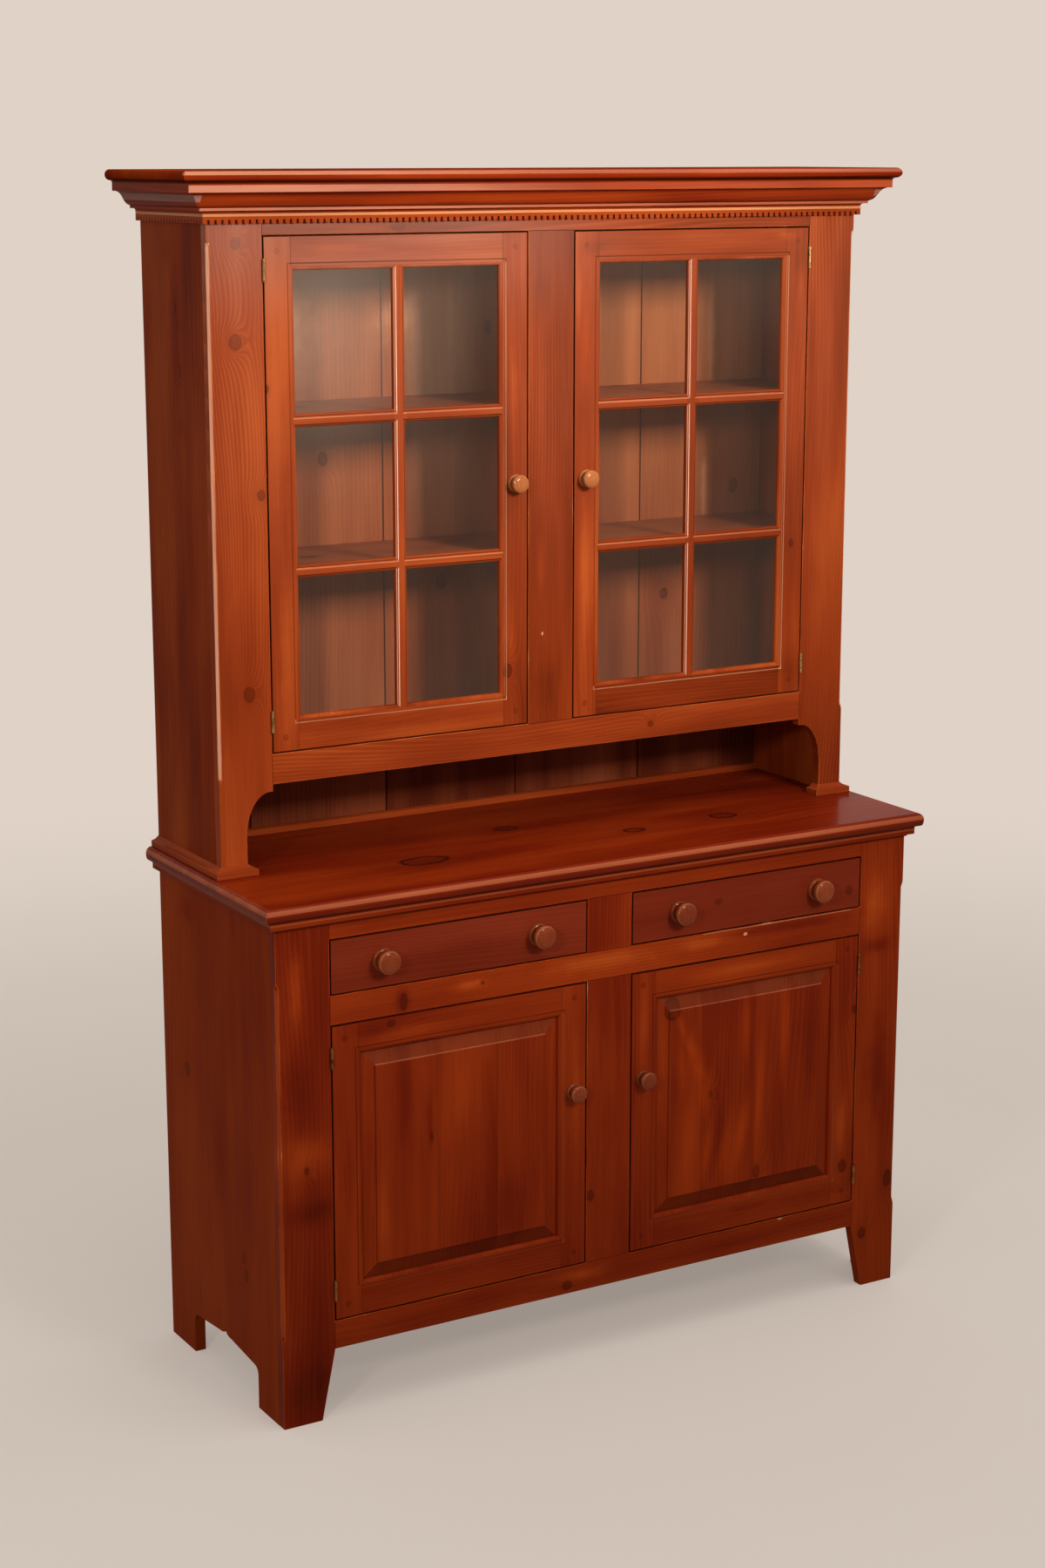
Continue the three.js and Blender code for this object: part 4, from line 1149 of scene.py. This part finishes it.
def dressDrawer(name, sign):
    gap = paintedGapShade(baseFront, leafEdge, **drawerFront)
    look = {"washes": (gap,), "cloud": 0.5, "patch": 0.6, "knotDepth": 0.4, **drawerMarks[name]}
    dressWood(f"drawer_{name}_front", stain="drawer", way="level", seed=160.0 + sign, **look)
    knots = scatter(170 + sign, f"{name}Drawer")
    look = {"stain": "bare", "way": "flat", "coat": 0.0, "gloss": 0.6, "knots": knots}
    dressWood(f"drawer_{name}_box", width=0.001, seed=165.0 + sign, **look)


def dressHinges():
    for name in nodes:
        if name.endswith("_leaf"):
            dress(name, brass if name.startswith("upper") else dullBrass, width=0.0002, segments=1)


def link(name, data):
    obj = bpy.data.objects.new(name, data)
    bpy.context.scene.collection.objects.link(obj)
    return obj


# Turned knobs: a flange on the face, a narrow neck and a domed head
knobLook = {
    "outline": (
        # radius and distance from the back, as shares of the knob's radius and length
        (0.0, 0.0), (0.93, 0.0), (0.965, 0.015), (0.98, 0.05), (0.982, 0.12), (0.965, 0.175),
        (0.9, 0.225), (0.79, 0.25), (0.68, 0.27), (0.59, 0.3), (0.545, 0.35), (0.54, 0.41),
        (0.575, 0.46), (0.66, 0.5), (0.8, 0.53), (0.92, 0.56), (0.975, 0.6), (0.998, 0.65),
        (1.0, 0.7), (0.988, 0.77), (0.955, 0.83), (0.89, 0.885), (0.78, 0.93), (0.62, 0.962),
        (0.4, 0.985), (0.2, 0.996), (0.0, 1.0),
    ),
    "steps": 56,
}
# painted highlight on the rim and the flange, painted shade in the neck
paintedKnobBands = (  # where along it, colour, share
    (0.8, 0.9, "#c98258", 0.2),
    (0.04, 0.12, "#b87048", 0.15),
    (0.24, 0.48, paintedShadeTone, 0.45),
)


def knobLines(node):
    # painted highlight rings on the head's rim and on the flange, and painted shade in the neck
    low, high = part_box(node)
    length = high.y - low.y

    def ring(near, far):
        return lambda x, y, z: between(y, high.y - far * length, high.y - near * length)

    return tuple((ring(near, far), code, share) for near, far, code, share in paintedKnobBands)


polish = {"way": "turned", "coat": 0.3, "gloss": 0.26, "ior": 1.1, "fibre": 0.2}


def turnKnob(node, body, slot, **look):
    low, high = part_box(node)
    radius = (high.x - low.x) / 2
    length = high.y - low.y
    centre = Vector(((low.x + high.x) / 2, high.y, (low.z + high.z) / 2))
    bm = bmesh.new()
    ring = [bm.verts.new(centre + Vector((r * radius, -s * length, 0))) for r, s in knobLook["outline"]]
    rim = [bm.edges.new(pair) for pair in zip(ring, ring[1:])]
    turn = {"axis": (0, 1, 0), "cent": centre, "angle": 2 * math.pi, "steps": knobLook["steps"]}
    bmesh.ops.spin(bm, geom=ring + rim, use_merge=True, **turn)
    bmesh.ops.remove_doubles(bm, verts=bm.verts, dist=cornerLook["weld"])
    bmesh.ops.recalc_face_normals(bm, faces=bm.faces)
    mesh = bpy.data.meshes.new(f"{node}_turned")
    bm.to_mesh(mesh)
    bm.free()
    mesh.polygons.foreach_set("use_smooth", [True] * len(mesh.polygons))
    mesh.materials.append(pine(f"{node}_pine", washes=knobLines(node), **polish, **look))
    knob = link(f"{node}_turned", mesh)
    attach(knob, body)
    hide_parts(node)


def addKnobs():
    for i, (name, _) in enumerate(sides):
        for level, stain, tone in (("upper", "paleUpperKnob", 0.15), ("lower", "knob", 0.0)):
            body = f"{level}_door_{name}"
            look = {"stain": stain, "seed": 200.0 + i, "lines": 160.0, "tone": tone}
            turnKnob(f"{body}_knob", body, "stained_pine", **look)
        for j, (end, _) in enumerate(sides):
            look = {"stain": "knob", "seed": 210.0 + 2 * i + j, "lines": 140.0}
            turnKnob(f"drawer_{name}_knob_{end}", f"drawer_{name}", "stained_pine_drawer", **look)


glassPane = glassMaterial()
brass = brassMaterial("agedBrass")
dullBrass = brassMaterial("dullBrass")
dressBase()
dressCounter()
dressUpperCase()
dressCrown()
for name, sign in sides:
    dressGlassDoor(name, sign)
    dressPanelDoor(name, sign)
    dressDrawer(name, sign)
dressHinges()
print("joinery finished")
addKnobs()
print("knobs turned")

# Stage
stageLook = {
    "floor": "#efe6dd",
    "floorUnder": "#8a7b6e",
    "background": "#e0d2c6",
    "mottle": ((3, 3, 3), 1.0, 3),
    "mottleTint": (0.35, 0.3, 0.26, 1),
    "mottleShare": 0.06,
    "floorSize": 14,
    "fade": (1.4, 4.5),  # where the floor goes over into the background
    "fadeShares": (0.4, 0.6),
    "lampTint": (1.0, 0.96, 0.91),
    "ambient": 0.44,
    "ambientTint": (1.0, 0.97, 0.94, 1),
    "key": {"at": (0.5, -3.7, 3.0), "aim": (0.0, 0.0, 2.15), "size": 0.9, "spread": 56, "watts": 20},
    "fill": {"at": (-3.7, -3.0, 2.5), "aim": (-0.3, 0.0, 1.2), "size": 0.45, "spread": 80, "watts": 9},
    "over": {"at": (0.6, -1.2, 4.6), "aim": (0.3, -0.4, 0.0), "size": 3.0, "spread": 130, "watts": 26},
}


def seenBy(g):
    # 1 where the camera looks at it, also by way of a mirror or a pane
    kinds = ("Camera", "Glossy", "Transmission")
    rays = [g.node("ShaderNodeLightPath", output=f"Is {kind} Ray") for kind in kinds]
    return rays[0].math("MAXIMUM", rays[1]).math("MAXIMUM", rays[2])


def addFloor():
    bm = bmesh.new()
    bmesh.ops.create_grid(bm, x_segments=1, y_segments=1, size=stageLook["floorSize"])
    mesh = bpy.data.meshes.new("floor")
    bm.to_mesh(mesh)
    bm.free()
    floor = link("floor", mesh)
    g, position = startMaterial("floorPaint")
    mottle = g.noise(position, *stageLook["mottle"])
    seen = g.mix(seenBy(g), tint(stageLook["floorUnder"]), tint(stageLook["floor"]))
    colour = g.mix(mottle * stageLook["mottleShare"], seen, stageLook["mottleTint"])
    painted = g.node("ShaderNodeBsdfPrincipled", values={"Base Color": colour, "Roughness": 0.75})
    near, far = stageLook["fadeShares"]
    fade = g.length(position).rise(*stageLook["fade"]) * far + near
    fade = fade * g.node("ShaderNodeLightPath", output="Is Camera Ray")
    haze = g.node("ShaderNodeEmission", values={0: tint(stageLook["background"])})
    paint = g.finish(g.blend(fade, painted, haze))
    mesh.materials.append(paint)


def addWorld():
    world = bpy.data.worlds.new("studio")
    bpy.context.scene.world = world
    g = Graph(world)
    light = g.node("ShaderNodeBackground", values={0: stageLook["ambientTint"], 1: stageLook["ambient"]})
    backdrop = g.node("ShaderNodeBackground", values={0: tint(stageLook["background"]), 1: 1.0})
    g.node("ShaderNodeOutputWorld", values={0: g.blend(seenBy(g), light, backdrop)})


def addLamp(name):
    look = stageLook[name]
    lamp = bpy.data.lights.new(name, "AREA")
    lamp.size = look["size"]
    lamp.energy = look["watts"]
    lamp.spread = math.radians(look["spread"])
    lamp.color = stageLook["lampTint"]
    obj = link(name, lamp)
    obj.location = look["at"]
    aim = Vector(look["aim"]) - Vector(look["at"])
    obj.rotation_euler = aim.to_track_quat("-Z", "Y").to_euler()


cameraLook = {
    "at": (-2.52333, -4.20998, 2.13704),
    "lens": 63.756,
    "sensor": 36,
    "down": 12.869,
    "turn": -30.451,
}


def addCamera():
    data = bpy.data.cameras.new("camera")
    data.lens = cameraLook["lens"]
    data.sensor_width = cameraLook["sensor"]
    camera = link("camera", data)
    camera.location = cameraLook["at"]
    tilt, turn = 90 - cameraLook["down"], cameraLook["turn"]
    camera.rotation_euler = (math.radians(tilt), 0, math.radians(turn))
    bpy.context.scene.camera = camera


addFloor()
addWorld()
for name in ("key", "fill", "over"):
    addLamp(name)
addCamera()
bpy.context.scene.view_settings.view_transform = "Standard"
print("stage set")
